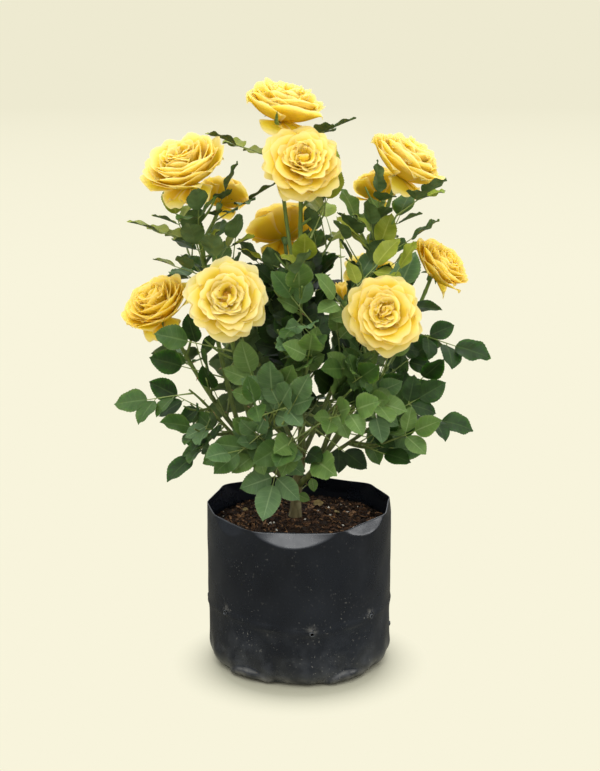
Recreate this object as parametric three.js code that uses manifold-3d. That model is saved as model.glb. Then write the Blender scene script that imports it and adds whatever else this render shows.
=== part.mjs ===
// A yellow shrub rose in a black polythene grow bag, in millimetres, +Z up.
// The origin is the middle of the bag's flat underside. The viewer of the front stands at -Y.
// The bag holds compost, the trunk stands on the compost, boughs leave the trunk, and each bough
// ends where it enters a mass of foliage, which is one solid of stem, twigs, leaves and blooms.
import * as THREE from "three";
import { mergeVertices } from "three/addons/utils/BufferGeometryUtils.js";
import Module from "manifold-3d";

const wasm = await Module();
wasm.setup();

// Driving sizes
const GAP = 0.3; // clear space between pieces that touch
const BAG = { radius: 101, height: 176, wall: 1.2, hem: 14, sides: 48, mouth: 150 };
const HOLE_RADIUS = 2; // of the drainage holes
const SOIL_TOP = 158;
const TRUNK = { foot: [-5, 0, SOIL_TOP + GAP], tip: [2, 3, 236], footRadius: 7.6, tipRadius: 5.2 };
const TRUNK_FLARE = 1.6;
const CANE_STEPS = 30; // of a cane's curve
const TWIG_STEPS = 10;
const BOUGH_SIDES = 6;
const STEM_SIDES = 5;
const TWIG_SIDES = 4;
const STEM_TIP_RADIUS = 1.9;
const BARE_TIP_RADIUS = 1; // of a stem without a bloom
const STALK_RADIUS = 1.6;
const LEAF = { length: 47, width: 0.7, belly: 0.42, fold: 0.07, thickness: 0.04 };
const RACHIS = 1.2; // of a leaf's stalk, by the length of its end leaflet
const LEAF_STEP = { low: 17, high: 55 }; // along a stem, from one leaf to the next
const REACH_LENGTH = 84; // of a leaf at the crown's edge, if it can be had
const TIP_LEAF = { length: 78, crowding: 0.5, tries: 12 }; // a leaf that carries on a bare stem
const TURN = 2.39996; // golden angle, from one leaf to the next
const LEAF_FLOOR = BAG.height + 7; // no leaf hangs lower
const SHOOT = { length: 62, open: 0.95, steps: 4, radius: 1.5 }; // a leafy twig
const CROWN = { leaf: 130, tip: 165, reach: 190 }; // farthest from the middle, for each kind of leaf
const SKIRT = { low: 208, rise: 0.34, inner: 50, reachUnder: 30 }; // the lowest leaves, rising outward
const SIGHT = { long: 150, rise: 0.12, share: 0.7, least: 30 }; // kept open before each large bloom
const SPACE_MARGIN = 1.2; // kept on each side of the border between two masses
const LIMB_MARGIN = 1.5;
const CROWDING = 0.48; // two leaflets of one mass are at least this share of their length apart
const REACH_CLEAR = 4; // from a leaf at the crown's edge to another mass
const BARE_NECK = 75; // of a stem below its bloom
const HIGH = 475; // above this height the leaves lie flattest, and 150 below it they hang outward most
const SPARSE = 0.2; // with less lowness than this a leaf has one pair

const COLOURS = {
  bag: { color: 0x1b1d20, roughness: 0.5 },
  soil: { color: 0x2e1d14, roughness: 1 },
  bark: { color: 0x6f6244, roughness: 0.85 },
  cane: { color: 0x5c6b2c, roughness: 0.7 },
  leaf: { color: 0x33572c, roughness: 0.55 },
};

// The bag's mouth is flattened by facets: the way each looks, in degrees from the front towards +X,
// and half of the angle that it spans. The holes are at such an angle and at a height.
const FACETS = [[-4, 30], [46, 20], [-50, 16], [-77, 11], [82, 16], [113, 15], [155, 27], [210, 28], [255, 17]];
const HOLES = [[-52, 70], [7, 61], [48, 68], [88, 34], [140, 66], [186, 60], [232, 70], [262, 62]];
const FACET_CUT = 0.95; // how flat the facets are at the rim

// Blooms: the middle of each flower, its radius, and the way it faces.
const BLOOMS = {
  top_front: { at: [3, -30, 554], radius: 44, faces: [0.05, -0.8, 0.6] },
  top_back: { at: [-18, 45, 604], radius: 40, faces: [0.1, 0.35, 0.93] },
  left_upper: { at: [-117, -20, 543], radius: 42, faces: [-0.2, -0.5, 0.84] },
  left_inner: { at: [-84, 50, 508], radius: 27, faces: [0.2, 0.5, 0.84] },
  right_upper: { at: [113, 10, 547], radius: 39, faces: [0.5, -0.15, 0.85] },
  right_inner: { at: [87, 60, 515], radius: 27, faces: [-0.15, 0.6, 0.8] },
  centre_back: { at: [-21, 70, 472], radius: 37, faces: [-0.2, 0.6, 0.78] },
  right_mid: { at: [150, 20, 434], radius: 32, faces: [0.45, -0.5, 0.73] },
  left_mid: { at: [-154, -10, 394], radius: 37, faces: [-0.5, -0.6, 0.6] },
  left_front: { at: [-73, -110, 421], radius: 43, faces: [0, -0.95, 0.3] },
  right_front: { at: [85, -100, 404], radius: 42, faces: [0.05, -0.93, 0.36] },
  bud: { at: [44, -60, 413], radius: 12, faces: [-0.2, -0.3, 0.93] },
  back_left: { at: [-80, 108, 400], radius: 36, faces: [-0.4, 0.8, 0.45] },
  back_right: { at: [86, 112, 412], radius: 37, faces: [0.4, 0.82, 0.4] },
};

// Canes, in the order in which they grow. Each leaves the limb `from` at the share `at` of its
// length, `spread` wide of upright, is a bough up to the share `enters`, and from there the stem of
// the mass of its name. The stem ends at its first bloom or at `tip`; other blooms sit on twigs that
// leave it at `forks`, and `shoots` is the number of leafy twigs that it tries to grow.
const CANES = [
  {
    name: "crown", from: "trunk", at: 1, spread: 0.15, enters: 0.12, radius: 4, shoots: 3,
    blooms: ["top_front", "top_back", "centre_back"], forks: [0.2, 0.08],
  },
  {
    name: "right_front", from: "trunk", at: 0.42, spread: 1.1, enters: 0.34, radius: 3.5,
    blooms: ["right_front", "bud"], forks: [0.62],
  },
  {
    name: "left_mid", from: "trunk", at: 0.4, spread: 1.3, enters: 0.4, radius: 3.4,
    blooms: ["left_mid"],
  },
  {
    name: "front_middle", from: "trunk", at: 0.74, spread: 0.9, enters: 0.3, radius: 3, shoots: 2,
    tip: [2, -74, 425],
  },
  {
    name: "back_low", from: "trunk", at: 0.55, spread: 1.1, enters: 0.34, radius: 3.1, shoots: 2,
    tip: [4, 98, 350],
  },
  {
    name: "left_front", from: "left_mid", at: 0.5, spread: 0.8, enters: 0.26, radius: 2.8,
    blooms: ["left_front"],
  },
  {
    name: "left_upper", from: "left_mid", at: 0.82, spread: 0.35, enters: 0.2, radius: 2.8,
    blooms: ["left_upper", "left_inner"], forks: [0.62],
  },
  {
    name: "left_low", from: "left_mid", at: 0.66, spread: 1.6, enters: 0.24, radius: 2.7, shoots: 1,
    tip: [-118, -22, 306],
  },
  {
    name: "right_upper", from: "right_front", at: 0.42, spread: 0.5, enters: 0.2, radius: 2.9,
    blooms: ["right_upper", "right_inner"], forks: [0.6],
  },
  {
    name: "right_mid", from: "right_front", at: 0.72, spread: 1.0, enters: 0.2, radius: 2.8,
    blooms: ["right_mid"],
  },
  {
    name: "right_low", from: "right_front", at: 0.56, spread: 1.6, enters: 0.26, radius: 2.7, shoots: 1,
    tip: [112, -18, 292],
  },
  {
    name: "back_left", from: "back_low", at: 0.5, spread: 0.9, enters: 0.24, radius: 2.7,
    blooms: ["back_left"],
  },
  {
    name: "back_right", from: "trunk", at: 0.85, spread: 0.9, enters: 0.26, radius: 3,
    blooms: ["back_right"],
  },
  {
    name: "front_right", from: "front_middle", at: 0.56, spread: 1.2, enters: 0.22, radius: 2.6,
    tip: [52, -92, 322],
  },
  {
    name: "front_left", from: "front_middle", at: 0.36, spread: 1.3, enters: 0.24, radius: 2.6,
    tip: [-42, -84, 296],
  },
];

// Tips of the leaves that give the crown its outline, by side.
const REACH = {
  top: [[-98, 15, 573], [58, 34, 588], [-66, 2, 544], [81, -5, 546], [-26, 4, 522]],
  middle: [[-2, -85, 453], [46, -40, 494], [16, -90, 439], [-60, -66, 368], [4, -104, 374]],
  left_high: [[-179, -15, 484], [-118, 12, 491], [-154, -10, 444], [-149, -58, 373]],
  left_low: [[-160, -5, 337], [-98, -40, 352], [-163, 18, 305], [-199, -5, 286], [-147, -38, 274], [-140, -50, 213]],
  right_high: [[145, 0, 484], [102, -38, 468], [118, -45, 455], [149, -16, 391], [202, -10, 338]],
  right_low: [[184, -25, 262], [130, -52, 246], [104, 24, 236], [146, 22, 300], [150, 40, 350]],
  front: [[-38, -97, 186], [-69, -62, 233], [-17, -112, 251], [-9, -127, 334], [50, -128, 312], [22, -98, 249],
    [70, -46, 226], [36, -88, 340], [91, -118, 295]],
  back: [[-46, 92, 430], [30, 70, 440], [-30, 140, 290], [52, 132, 300], [8, 120, 236], [-150, 92, 330],
    [-92, 128, 296], [-140, 80, 420], [150, 96, 340], [96, 134, 300], [142, 84, 436]],
};

// Plain vectors
const add = (a, b) => [a[0] + b[0], a[1] + b[1], a[2] + b[2]];
const sub = (a, b) => [a[0] - b[0], a[1] - b[1], a[2] - b[2]];
const mul = (a, k) => [a[0] * k, a[1] * k, a[2] * k];
const dot = (a, b) => a[0] * b[0] + a[1] * b[1] + a[2] * b[2];
const cross = (a, b) => [
  a[1] * b[2] - a[2] * b[1],
  a[2] * b[0] - a[0] * b[2],
  a[0] * b[1] - a[1] * b[0],
];
const size = (a) => Math.sqrt(dot(a, a));
const unit = (a) => mul(a, 1 / size(a));
const mix = (a, b, t) => add(mul(a, 1 - t), mul(b, t));
const UP = [0, 0, 1];

// The part of v that is square to the unit vector axis, made a unit vector, and any such vector.
const squareTo = (v, axis) => unit(sub(v, mul(axis, dot(v, axis))));
const anySide = (axis) => squareTo(Math.abs(axis[2]) < 0.9 ? UP : [1, 0, 0], axis);

const clamp = (value, low, high) => Math.min(Math.max(value, low), high);

// A stream of numbers from 0 to 1 that only depends on its seed.
function seeded(seed) {
  let state = seed * 7919 + 17;
  return () => {
    state = (state * 1664525 + 1013904223) % 4294967296;
    return state / 4294967296;
  };
}

// Points of the curve that leaves start along startDir and arrives at end along endDir.
function curve(start, startDir, end, endDir, steps) {
  const pull = 0.36 * size(sub(end, start));
  const a = add(start, mul(startDir, pull));
  const b = sub(end, mul(endDir, pull));
  return Array.from({ length: steps + 1 }, (_, i) => {
    const t = i / steps;
    const u = 1 - t;
    return add(
      add(mul(start, u * u * u), mul(a, 3 * u * u * t)),
      add(mul(b, 3 * u * t * t), mul(end, t * t * t)),
    );
  });
}

// The point and the direction at a share of a path's steps.
function along(path, share) {
  const place = clamp(share, 0, 1) * (path.length - 1);
  const i = Math.min(Math.floor(place), path.length - 2);
  return {
    point: mix(path[i], path[i + 1], place - i),
    dir: unit(sub(path[i + 1], path[i])),
  };
}

// How far a point is from the segment from a to b.
function fromSegment(p, a, b) {
  const ab = sub(b, a);
  const t = clamp(dot(sub(p, a), ab) / dot(ab, ab), 0, 1);
  return size(sub(p, add(a, mul(ab, t))));
}

function fromPath(p, path) {
  let best = Infinity;
  for (let i = 1; i < path.length; i++) best = Math.min(best, fromSegment(p, path[i - 1], path[i]));
  return best;
}

// Solids
function solid(geometry) {
  geometry.deleteAttribute("normal");
  geometry.deleteAttribute("uv");
  const merged = mergeVertices(geometry, 1e-4);
  return new wasm.Manifold(
    new wasm.Mesh({
      numProp: 3,
      vertProperties: new Float32Array(merged.attributes.position.array),
      triVerts: new Uint32Array(merged.index.array),
    }),
  );
}

function geometryOf(made) {
  const mesh = made.getMesh();
  return new THREE.BufferGeometry()
    .setAttribute("position", new THREE.BufferAttribute(mesh.vertProperties, 3))
    .setIndex(new THREE.BufferAttribute(mesh.triVerts, 1));
}

// Moves each vertex of a geometry to place(x, y, z).
function shape(geometry, place) {
  const at = geometry.attributes.position;
  for (let i = 0; i < at.count; i++) at.setXYZ(i, ...place(at.getX(i), at.getY(i), at.getZ(i)));
  return geometry;
}

// A closed cylinder bent along a path, with a radius for each share of it, and longer by `extra` at
// both ends.
function tube(path, radiusAt, sides, extra = 0) {
  const steps = path.length - 1;
  const rings = [];
  let side = anySide(unit(sub(path[1], path[0])));
  for (let i = 0; i <= steps; i++) {
    const dir = unit(sub(path[Math.min(i + 1, steps)], path[Math.max(i - 1, 0)]));
    side = squareTo(side, dir);
    const shift = i === 0 ? -extra : i === steps ? extra : 0;
    rings.push({ point: add(path[i], mul(dir, shift)), side, other: cross(side, dir) });
  }
  const straight = new THREE.CylinderGeometry(1, 1, 1, sides, steps);
  return solid(
    shape(straight, (x, y, z) => {
      const share = y + 0.5;
      const ring = rings[Math.round(share * steps)];
      const r = radiusAt(share);
      return add(ring.point, add(mul(ring.side, x * r), mul(ring.other, z * r)));
    }),
  );
}

// The seeded growth rule: limbs first, then each mass's own skeleton, then its leaves.
function grow() {
  const limbs = { trunk: { path: trunkPath(), from: TRUNK.footRadius, to: TRUNK.tipRadius } };
  const masses = CANES.map((cane, index) => {
    const parent = limbs[cane.from];
    const start = along(parent.path, cane.at);
    const first = cane.blooms && BLOOMS[cane.blooms[0]];
    const end = first ? seat(first) : cane.tip;
    const flat = [end[0] - start.point[0], end[1] - start.point[1], 0];
    const wide = Math.min(size(flat) / 60, 1) * cane.spread;
    const startDir = unit(add(UP, mul(unit(flat), wide)));
    const endDir = first ? neck(first) : unit(add(unit(flat), mul(UP, 0.8)));
    const whole = curve(start.point, startDir, end, endDir, CANE_STEPS);
    const split = Math.round(cane.enters * CANE_STEPS);
    const tipRadius = cane.radius * 0.8;
    limbs[cane.name] = { path: whole.slice(0, split + 1), from: cane.radius, to: tipRadius };
    const stem = first ? [...whole.slice(split), heart(first)] : whole.slice(split);
    const twigs = (cane.blooms || []).slice(1).map((bloom, i) => {
      const fork = along(stem, cane.forks[i]);
      const twig = curve(fork.point, fork.dir, seat(BLOOMS[bloom]), neck(BLOOMS[bloom]), TWIG_STEPS);
      return [...twig, heart(BLOOMS[bloom])];
    });
    return {
      ...cane,
      tipRadius,
      paths: [stem, ...twigs],
      balls: (cane.blooms || []).map((bloom) => ball(BLOOMS[bloom])),
      random: seeded(index + 1),
      spines: [],
      shootEnds: [],
      leaflets: [],
      stalks: [],
    };
  });
  const reaching = Object.values(REACH)
    .flat()
    .map((tip) => reachLeaf(tip, masses, limbs))
    .filter((found) => found);
  for (const { leaf, mass } of reaching) {
    const pairs = size(sub(leaf.joint, leaf.base)) > 30 ? 2 : 1;
    addPairs(leaf, pairs, (p) => isOwn(p, mass, masses, limbs, CROWN.reach, SKIRT.reachUnder), mass, CROWDING);
  }
  for (const mass of masses) growShoots(mass, masses, limbs);
  for (const mass of masses) {
    for (const path of mass.paths.slice(mass.balls.length)) tipLeaf(path, mass, masses, limbs);
    for (const path of mass.paths) leavesAlong(path, mass, masses, limbs);
  }
  return { limbs, masses };
}

// The trunk leans a little and swells at its foot.
function trunkPath() {
  const lean = unit(sub(TRUNK.tip, TRUNK.foot));
  return curve(TRUNK.foot, UP, TRUNK.tip, lean, 6);
}

// A bloom's seat on its stalk, the point inside it where the stalk ends, the way the stalk arrives,
// and the ball that holds the bloom.
const seat = (bloom) => sub(bloom.at, mul(unit(bloom.faces), bloom.radius * 0.5));
const heart = (bloom) => sub(bloom.at, mul(unit(bloom.faces), bloom.radius * 0.3));
const neck = (bloom) => unit(add(unit(bloom.faces), mul(UP, 0.7)));
const ball = (bloom) => ({
  at: add(bloom.at, mul(unit(bloom.faces), -0.04 * bloom.radius)),
  radius: bloom.radius * 1.04,
});

// How far a point is from what a mass is built on: its stems, its blooms and its outermost leaves.
function fromMass(p, mass) {
  let best = Infinity;
  for (const path of mass.paths) best = Math.min(best, fromPath(p, path));
  for (const b of mass.balls) best = Math.min(best, size(sub(p, b.at)) - b.radius);
  for (const s of mass.spines) best = Math.min(best, fromSegment(p, s.root, s.tip) - s.radius);
  return best;
}

// The lines from the large blooms to the side that they are seen from.
const SIGHTS = Object.values(BLOOMS)
  .filter((bloom) => bloom.radius > SIGHT.least)
  .map(({ at, radius }) => {
    const way = [0, at[1] < 90 ? -1 : 1, SIGHT.rise];
    return { from: at, to: add(at, mul(way, SIGHT.long)), clear: radius * SIGHT.share };
  });

// True if a point is above the bag, hides no large bloom, is clear of every limb, and is no nearer to
// the middle of one of the mass's own blooms than a share of its radius.
function isFree(p, mass, limbs, near) {
  if (p[2] < LEAF_FLOOR) return false;
  if (SIGHTS.some(({ from, to, clear }) => fromSegment(p, from, to) < clear)) return false;
  if (mass.balls.some((b) => size(sub(p, b.at)) < b.radius * near)) return false;
  return Object.values(limbs).every((limb) => fromPath(p, limb.path) > limb.from + LIMB_MARGIN);
}

// True if a free point is in the mass's own space, which is all that is nearer to it than to others,
// within a distance from the plant's middle and not below the skirt of leaves, or not far below it.
function isOwn(p, mass, masses, limbs, wide = CROWN.leaf, under = 0) {
  const out = Math.hypot(p[0], p[1]);
  if (out > wide || p[2] < SKIRT.low + SKIRT.rise * (out - SKIRT.inner) - under) return false;
  if (!isFree(p, mass, limbs, 1)) return false;
  const own = fromMass(p, mass);
  return masses.every((other) => other === mass || fromMass(p, other) > own + 2 * SPACE_MARGIN);
}

// True if a free point is clear of all other masses.
function isClear(p, mass, masses, limbs) {
  if (!isFree(p, mass, limbs, 0.8)) return false;
  return masses.every((other) => other === mass || fromMass(p, other) > REACH_CLEAR);
}

// A leaflet from its root along dir, lying as square to face as it can.
function leaflet(root, dir, face, length) {
  const up = squareTo(face, dir);
  const side = cross(up, dir);
  const middle = add(root, mul(dir, length * LEAF.belly));
  return { root, dir, up, side, length, middle };
}

// Points of a leaflet that tell where it is.
function leafletPoints(leaf) {
  const half = mul(leaf.side, leaf.length * LEAF.width * 0.5);
  const edge = add(leaf.middle, mul(leaf.up, leaf.length * LEAF.fold));
  const tip = add(leaf.root, mul(leaf.dir, leaf.length));
  return [tip, add(edge, half), sub(edge, half), leaf.middle, mix(leaf.middle, tip, 0.5)];
}

const isCrowded = (leaf, mass, crowding) =>
  mass.leaflets.some((l) => size(sub(leaf.middle, l.middle)) < crowding * 0.5 * (l.length + leaf.length));

const lowness = (p) => clamp((HIGH - p[2]) / 150, 0, 1);

// The way a leaf's upper face looks: up at the top of the plant, and out to the light lower down.
function facing(p, mass) {
  const low = lowness(p);
  const light = (p[1] < 40 ? -1 : 1) * (0.15 + 0.75 * low) * (0.4 + 1.1 * mass.random());
  const outward = mul(unit([p[0], p[1], 0]), 0.3 + 0.3 * low);
  return add(add(mul(UP, 1 - 0.45 * low), outward), [0, light, 0]);
}

// A leaf's stalk and end leaflet, if all of it passes the test `fits`.
function leafStart(base, dir, long, fits, mass, crowding) {
  const endLength = clamp(long / (1 + RACHIS), 20, 50);
  const joint = add(base, mul(dir, long - endLength));
  const end = leaflet(joint, dir, facing(joint, mass), endLength);
  const stalk = [0.35, 0.7, 0.9].map((t) => mix(base, joint, t));
  if (isCrowded(end, mass, crowding) || ![...stalk, ...leafletPoints(end)].every(fits)) return null;
  mass.leaflets.push(end);
  const leaf = { base, joint, dir, end, tip: add(joint, mul(dir, endLength * 0.3)) };
  mass.stalks.push(leaf);
  return leaf;
}

// The pairs of leaflets on a leaf's stalk.
function addPairs(leaf, pairs, fits, mass, crowding) {
  const side = cross(leaf.end.up, leaf.dir);
  const shares = pairs === 2 ? [0.88, 0.45] : [0.78];
  for (const [row, share] of shares.entries()) {
    for (const hand of [-1, 1]) {
      const turn = 0.95 + 0.3 * (mass.random() - 0.5);
      const way = unit(add(mul(leaf.dir, Math.cos(turn)), mul(side, hand * Math.sin(turn))));
      const root = mix(leaf.base, leaf.joint, share);
      const one = leaflet(root, way, facing(root, mass), leaf.end.length * (0.86 - 0.12 * row));
      if (!isCrowded(one, mass, crowding) && leafletPoints(one).every(fits)) mass.leaflets.push(one);
    }
  }
}

// A leaf whose tip is at a stated place, borne by a mass close to it, from the part of a stem that
// gives it the length nearest to a rose leaf's and lets it fit.
function reachLeaf(tip, masses, limbs) {
  const near = masses.map((mass) => ({ mass, far: fromMass(tip, mass) })).sort((a, b) => a.far - b.far);
  const places = near.slice(0, 5).flatMap(({ mass }) =>
    mass.paths.flatMap((path) =>
      Array.from({ length: 23 }, (_, i) => {
        const place = along(path, (i + 1) / 25);
        const whole = sub(tip, place.point);
        const backward = Math.max(0.1 - dot(unit(whole), place.dir), 0);
        return { mass, whole, base: place.point, miss: Math.abs(size(whole) - REACH_LENGTH) + 30 * backward };
      }),
    ),
  );
  places.sort((a, b) => a.miss - b.miss);
  for (const { mass, whole, base, miss } of places) {
    if (miss > 46) break;
    const fits = (p) => isClear(p, mass, masses, limbs);
    const leaf = leafStart(base, unit(whole), size(whole), fits, mass, CROWDING);
    if (!leaf) continue;
    mass.spines.push({ root: leaf.joint, tip, radius: leaf.end.length * 0.33 });
    mass.spines.push({ root: base, tip: leaf.joint, radius: 2 });
    return { leaf, mass };
  }
  return null;
}

// A direction that opens from a path's own by an angle, at an azimuth round it.
function sideways(dir, azimuth, open) {
  const level = anySide(dir);
  const around = add(mul(level, Math.cos(azimuth)), mul(cross(dir, level), Math.sin(azimuth)));
  return add(mul(dir, Math.cos(open)), mul(around, Math.sin(open)));
}

// Leafy twigs from the stem of a mass, turned until they keep to its space, or else left out.
function growShoots(mass, masses, limbs) {
  const [stem] = mass.paths;
  const count = mass.shoots || 0;
  let azimuth = mass.random() * 6.28;
  for (let i = 0; i < count; i++) {
    const place = along(stem, 0.12 + (0.55 * i) / count);
    azimuth += TURN;
    for (let k = 0; k < 8; k++) {
      const way = unit(sideways(place.dir, azimuth + k * 0.8, SHOOT.open));
      const end = add(place.point, mul(unit(add(way, mul(UP, 0.25))), SHOOT.length));
      const shoot = curve(place.point, way, end, unit(add(way, mul(UP, 0.7))), SHOOT.steps);
      if (!shoot.slice(1).every((p) => isOwn(p, mass, masses, limbs))) continue;
      if (mass.shootEnds.some((p) => size(sub(p, end)) < 0.6 * SHOOT.length)) continue;
      mass.paths.push(shoot);
      mass.shootEnds.push(end);
      break;
    }
  }
}

// Leaves round a stem at even steps, each a golden angle on from the last. A leaf that doesn't fit
// is tried again turned, steeper and smaller, and otherwise skipped.
const TRIES = [
  { turn: 0, open: 1.25, scale: 1, pairs: 2 },
  { turn: 0.5, open: 1.2, scale: 1, pairs: 2 },
  { turn: -0.5, open: 1.2, scale: 1, pairs: 2 },
  { turn: 1.0, open: 1.0, scale: 0.9, pairs: 2 },
  { turn: -1.0, open: 1.0, scale: 0.9, pairs: 2 },
  { turn: 0, open: 0.8, scale: 0.85, pairs: 2 },
  { turn: 1.6, open: 1.1, scale: 0.8, pairs: 1 },
  { turn: -1.6, open: 1.1, scale: 0.8, pairs: 1 },
  { turn: 0, open: 0.6, scale: 0.75, pairs: 1 },
  { turn: 2.4, open: 0.9, scale: 0.75, pairs: 1 },
  { turn: -2.4, open: 0.9, scale: 0.75, pairs: 1 },
];

// A leaf that carries on a stem without a bloom.
function tipLeaf(path, mass, masses, limbs) {
  const { dir } = along(path, 1);
  const fits = (p) => isOwn(p, mass, masses, limbs, CROWN.tip);
  const azimuth = mass.random() * 6.28;
  for (let k = 0; k < TIP_LEAF.tries; k++) {
    const way = unit(sub(sideways(dir, azimuth + k * 1.1, 0.12 * k), mul(UP, 0.15)));
    const leaf = leafStart(path[path.length - 1], way, TIP_LEAF.length, fits, mass, TIP_LEAF.crowding);
    if (!leaf) continue;
    addPairs(leaf, 1, fits, mass, TIP_LEAF.crowding);
    return;
  }
}

const pathLength = (path) => path.slice(1).reduce((sum, p, i) => sum + size(sub(p, path[i])), 0);

function leavesAlong(path, mass, masses, limbs) {
  const bloomEnd = mass.paths.indexOf(path) < mass.balls.length;
  const fits = (p) => isOwn(p, mass, masses, limbs);
  const long = pathLength(path);
  const end = path[path.length - 1];
  let azimuth = mass.random() * 6.28;
  let at = 8;
  while (at < long - 4) {
    const place = along(path, at / long);
    const low = lowness(place.point);
    at += LEAF_STEP.high + (LEAF_STEP.low - LEAF_STEP.high) * low;
    azimuth += TURN;
    const vigour = 0.84 + 0.3 * mass.random();
    if (bloomEnd && size(sub(end, place.point)) < BARE_NECK) continue;
    for (const attempt of TRIES) {
      const way = sideways(place.dir, azimuth + attempt.turn, attempt.open);
      const dir = unit(add(way, mul(UP, -0.1 - 0.35 * low)));
      const whole = LEAF.length * (1 + RACHIS) * attempt.scale * vigour;
      const leaf = leafStart(place.point, dir, whole, fits, mass, CROWDING);
      if (!leaf) continue;
      addPairs(leaf, low < SPARSE ? 1 : attempt.pairs, fits, mass, CROWDING);
      break;
    }
  }
}

// Solids of the plant
const linear = (from, to) => (share) => from + (to - from) * share;

function trunkSolid(extra = 0) {
  const radiusAt = (share) => {
    const flare = TRUNK_FLARE * Math.exp(-share * 14);
    return linear(TRUNK.footRadius - TRUNK_FLARE, TRUNK.tipRadius)(share) + flare + extra;
  };
  return tube(trunkPath(), radiusAt, 10, extra);
}

function limbSolid(limb, extra = 0) {
  return tube(thin(limb.path, 5), (share) => linear(limb.from, limb.to)(share) + extra, BOUGH_SIDES, extra);
}

// A leaf's stalk, a three-sided cone from inside its stem to inside its end leaflet.
function stalkSolid({ base, dir, tip }) {
  const side = anySide(dir);
  const other = cross(side, dir);
  const cone = new THREE.ConeGeometry(1, 1, 3, 1);
  return solid(
    shape(cone, (x, y, z) => {
      const point = y > 0 ? tip : base;
      return add(point, add(mul(side, x * STALK_RADIUS), mul(other, z * STALK_RADIUS)));
    }),
  );
}

// A leaf of 8 faces, a flattened octahedron with its belly nearer its root and its edges raised.
function leafletSolid(leaf) {
  const w = leaf.length * LEAF.width * 0.5;
  const t = Math.max(leaf.length * LEAF.thickness * 0.5, 0.6);
  const eight = new THREE.OctahedronGeometry(1, 0);
  return solid(
    shape(eight, (x, y, z) => {
      const onMidline = Math.abs(x) > 0.5 ? x * 0.5 + 0.5 : LEAF.belly;
      const rise = z * t + Math.abs(y) * LEAF.fold * leaf.length;
      const p = add(leaf.root, mul(leaf.dir, onMidline * leaf.length));
      return add(add(p, mul(leaf.side, y * w)), mul(leaf.up, rise));
    }),
  );
}

// A bloom and a bud, of radius 1 before they are placed: a dish turned from a profile of radius and
// height above the seat, whose rim is scalloped into petals.
const BLOOM_DISH = {
  profile: [[0, 0], [0.55, 0.1], [1.05, 0.5], [0.84, 0.76], [0.72, 0.7], [0.6, 1.08], [0, 1]],
  petals: 7,
  depth: 0.1,
};
const BUD_DISH = { profile: [[0, -0.2], [0.95, 0.5], [0.7, 1.5], [0, 1.7]], petals: 3, depth: 0.1 };

function bloomSolid(bloom, { profile, petals, depth }) {
  const up = unit(bloom.faces);
  const side = anySide(up);
  const other = cross(up, side);
  const base = seat(bloom);
  const dish = new THREE.LatheGeometry(profile.map(([r, z]) => new THREE.Vector2(r, z)), petals * 2);
  return solid(
    shape(dish, (x, y, z) => {
      const notch = 1 - depth * Math.hypot(x, z) * (0.5 + 0.5 * Math.cos(Math.atan2(z, x) * petals));
      const flat = add(mul(side, x * notch), mul(other, -z * notch));
      return add(base, mul(add(flat, mul(up, y)), bloom.radius));
    }),
  );
}

// The stem, twigs, leaves and blooms of one mass, fused, and cut clear of the limbs.
function massSolid(mass, limbs) {
  const blooms = mass.blooms || [];
  const pieces = mass.paths.map((path, i) => {
    const bloomTwig = i > 0 && i < blooms.length;
    const from = i === 0 ? mass.tipRadius : bloomTwig ? STEM_TIP_RADIUS + 0.2 : SHOOT.radius + 0.3;
    const bareTip = i === 0 ? BARE_TIP_RADIUS : SHOOT.radius - 0.3;
    const to = i < blooms.length ? STEM_TIP_RADIUS : bareTip;
    return tube(thin(path, i === 0 ? 7 : 4), linear(from, to), i === 0 ? STEM_SIDES : TWIG_SIDES);
  });
  for (const leaf of mass.stalks) pieces.push(stalkSolid(leaf));
  for (const leaf of mass.leaflets) pieces.push(leafletSolid(leaf));
  for (const name of blooms) pieces.push(bloomSolid(BLOOMS[name], name === "bud" ? BUD_DISH : BLOOM_DISH));
  const fused = pieces.reduce((whole, piece) => whole.add(piece));
  return cutClear(fused, limbs);
}

// The largest piece of a solid that is left when others are cut from it.
function cutClear(made, others) {
  const cut = others.reduce((whole, other) => whole.subtract(other), made);
  return cut.decompose().reduce((a, b) => (a.volume() > b.volume() ? a : b));
}

// A path with fewer steps, so that a long stem has few faces.
function thin(path, steps) {
  const n = Math.min(steps, path.length - 1);
  return Array.from({ length: n + 1 }, (_, i) => along(path, i / n).point);
}

// The grow bag: a tube of film with a soft lower edge, a wavy side and a mouth flattened by facets.
// Angles are measured from the front towards +X.
function bagRadius(r, angle, z) {
  const mouth = clamp((z - BAG.mouth) / (BAG.height - BAG.mouth), 0, 1);
  const foot = clamp(1 - z / 60, 0, 1);
  const flat = FACETS.map(([at, half]) => {
    const off = Math.cos(angle - (at * Math.PI) / 180);
    return off > 0.5 ? Math.cos((half * Math.PI) / 180) / off : 1;
  });
  const facet = Math.min(1, ...flat);
  const wave = 0.9 * Math.sin(3 * angle + 0.6) + 1.4 * Math.sin(5 * angle + 1) * foot;
  return r * (1 + (facet - 1) * FACET_CUT * mouth) + wave;
}

// The rim's height: low in front, and high at the back.
const rimLift = (a) => -1.6 - 4.2 * Math.cos(a) - 1.1 * Math.cos(2 * a) + 0.9 * Math.sin(2 * a);

// Lumps of the compost's top between its flat middle and its edge.
const lump = (r, angle) => (r > 30 && r < 90 ? 1.6 * Math.sin(4 * angle + r) + 1.1 * Math.sin(9 * angle - r) : 0);

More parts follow.
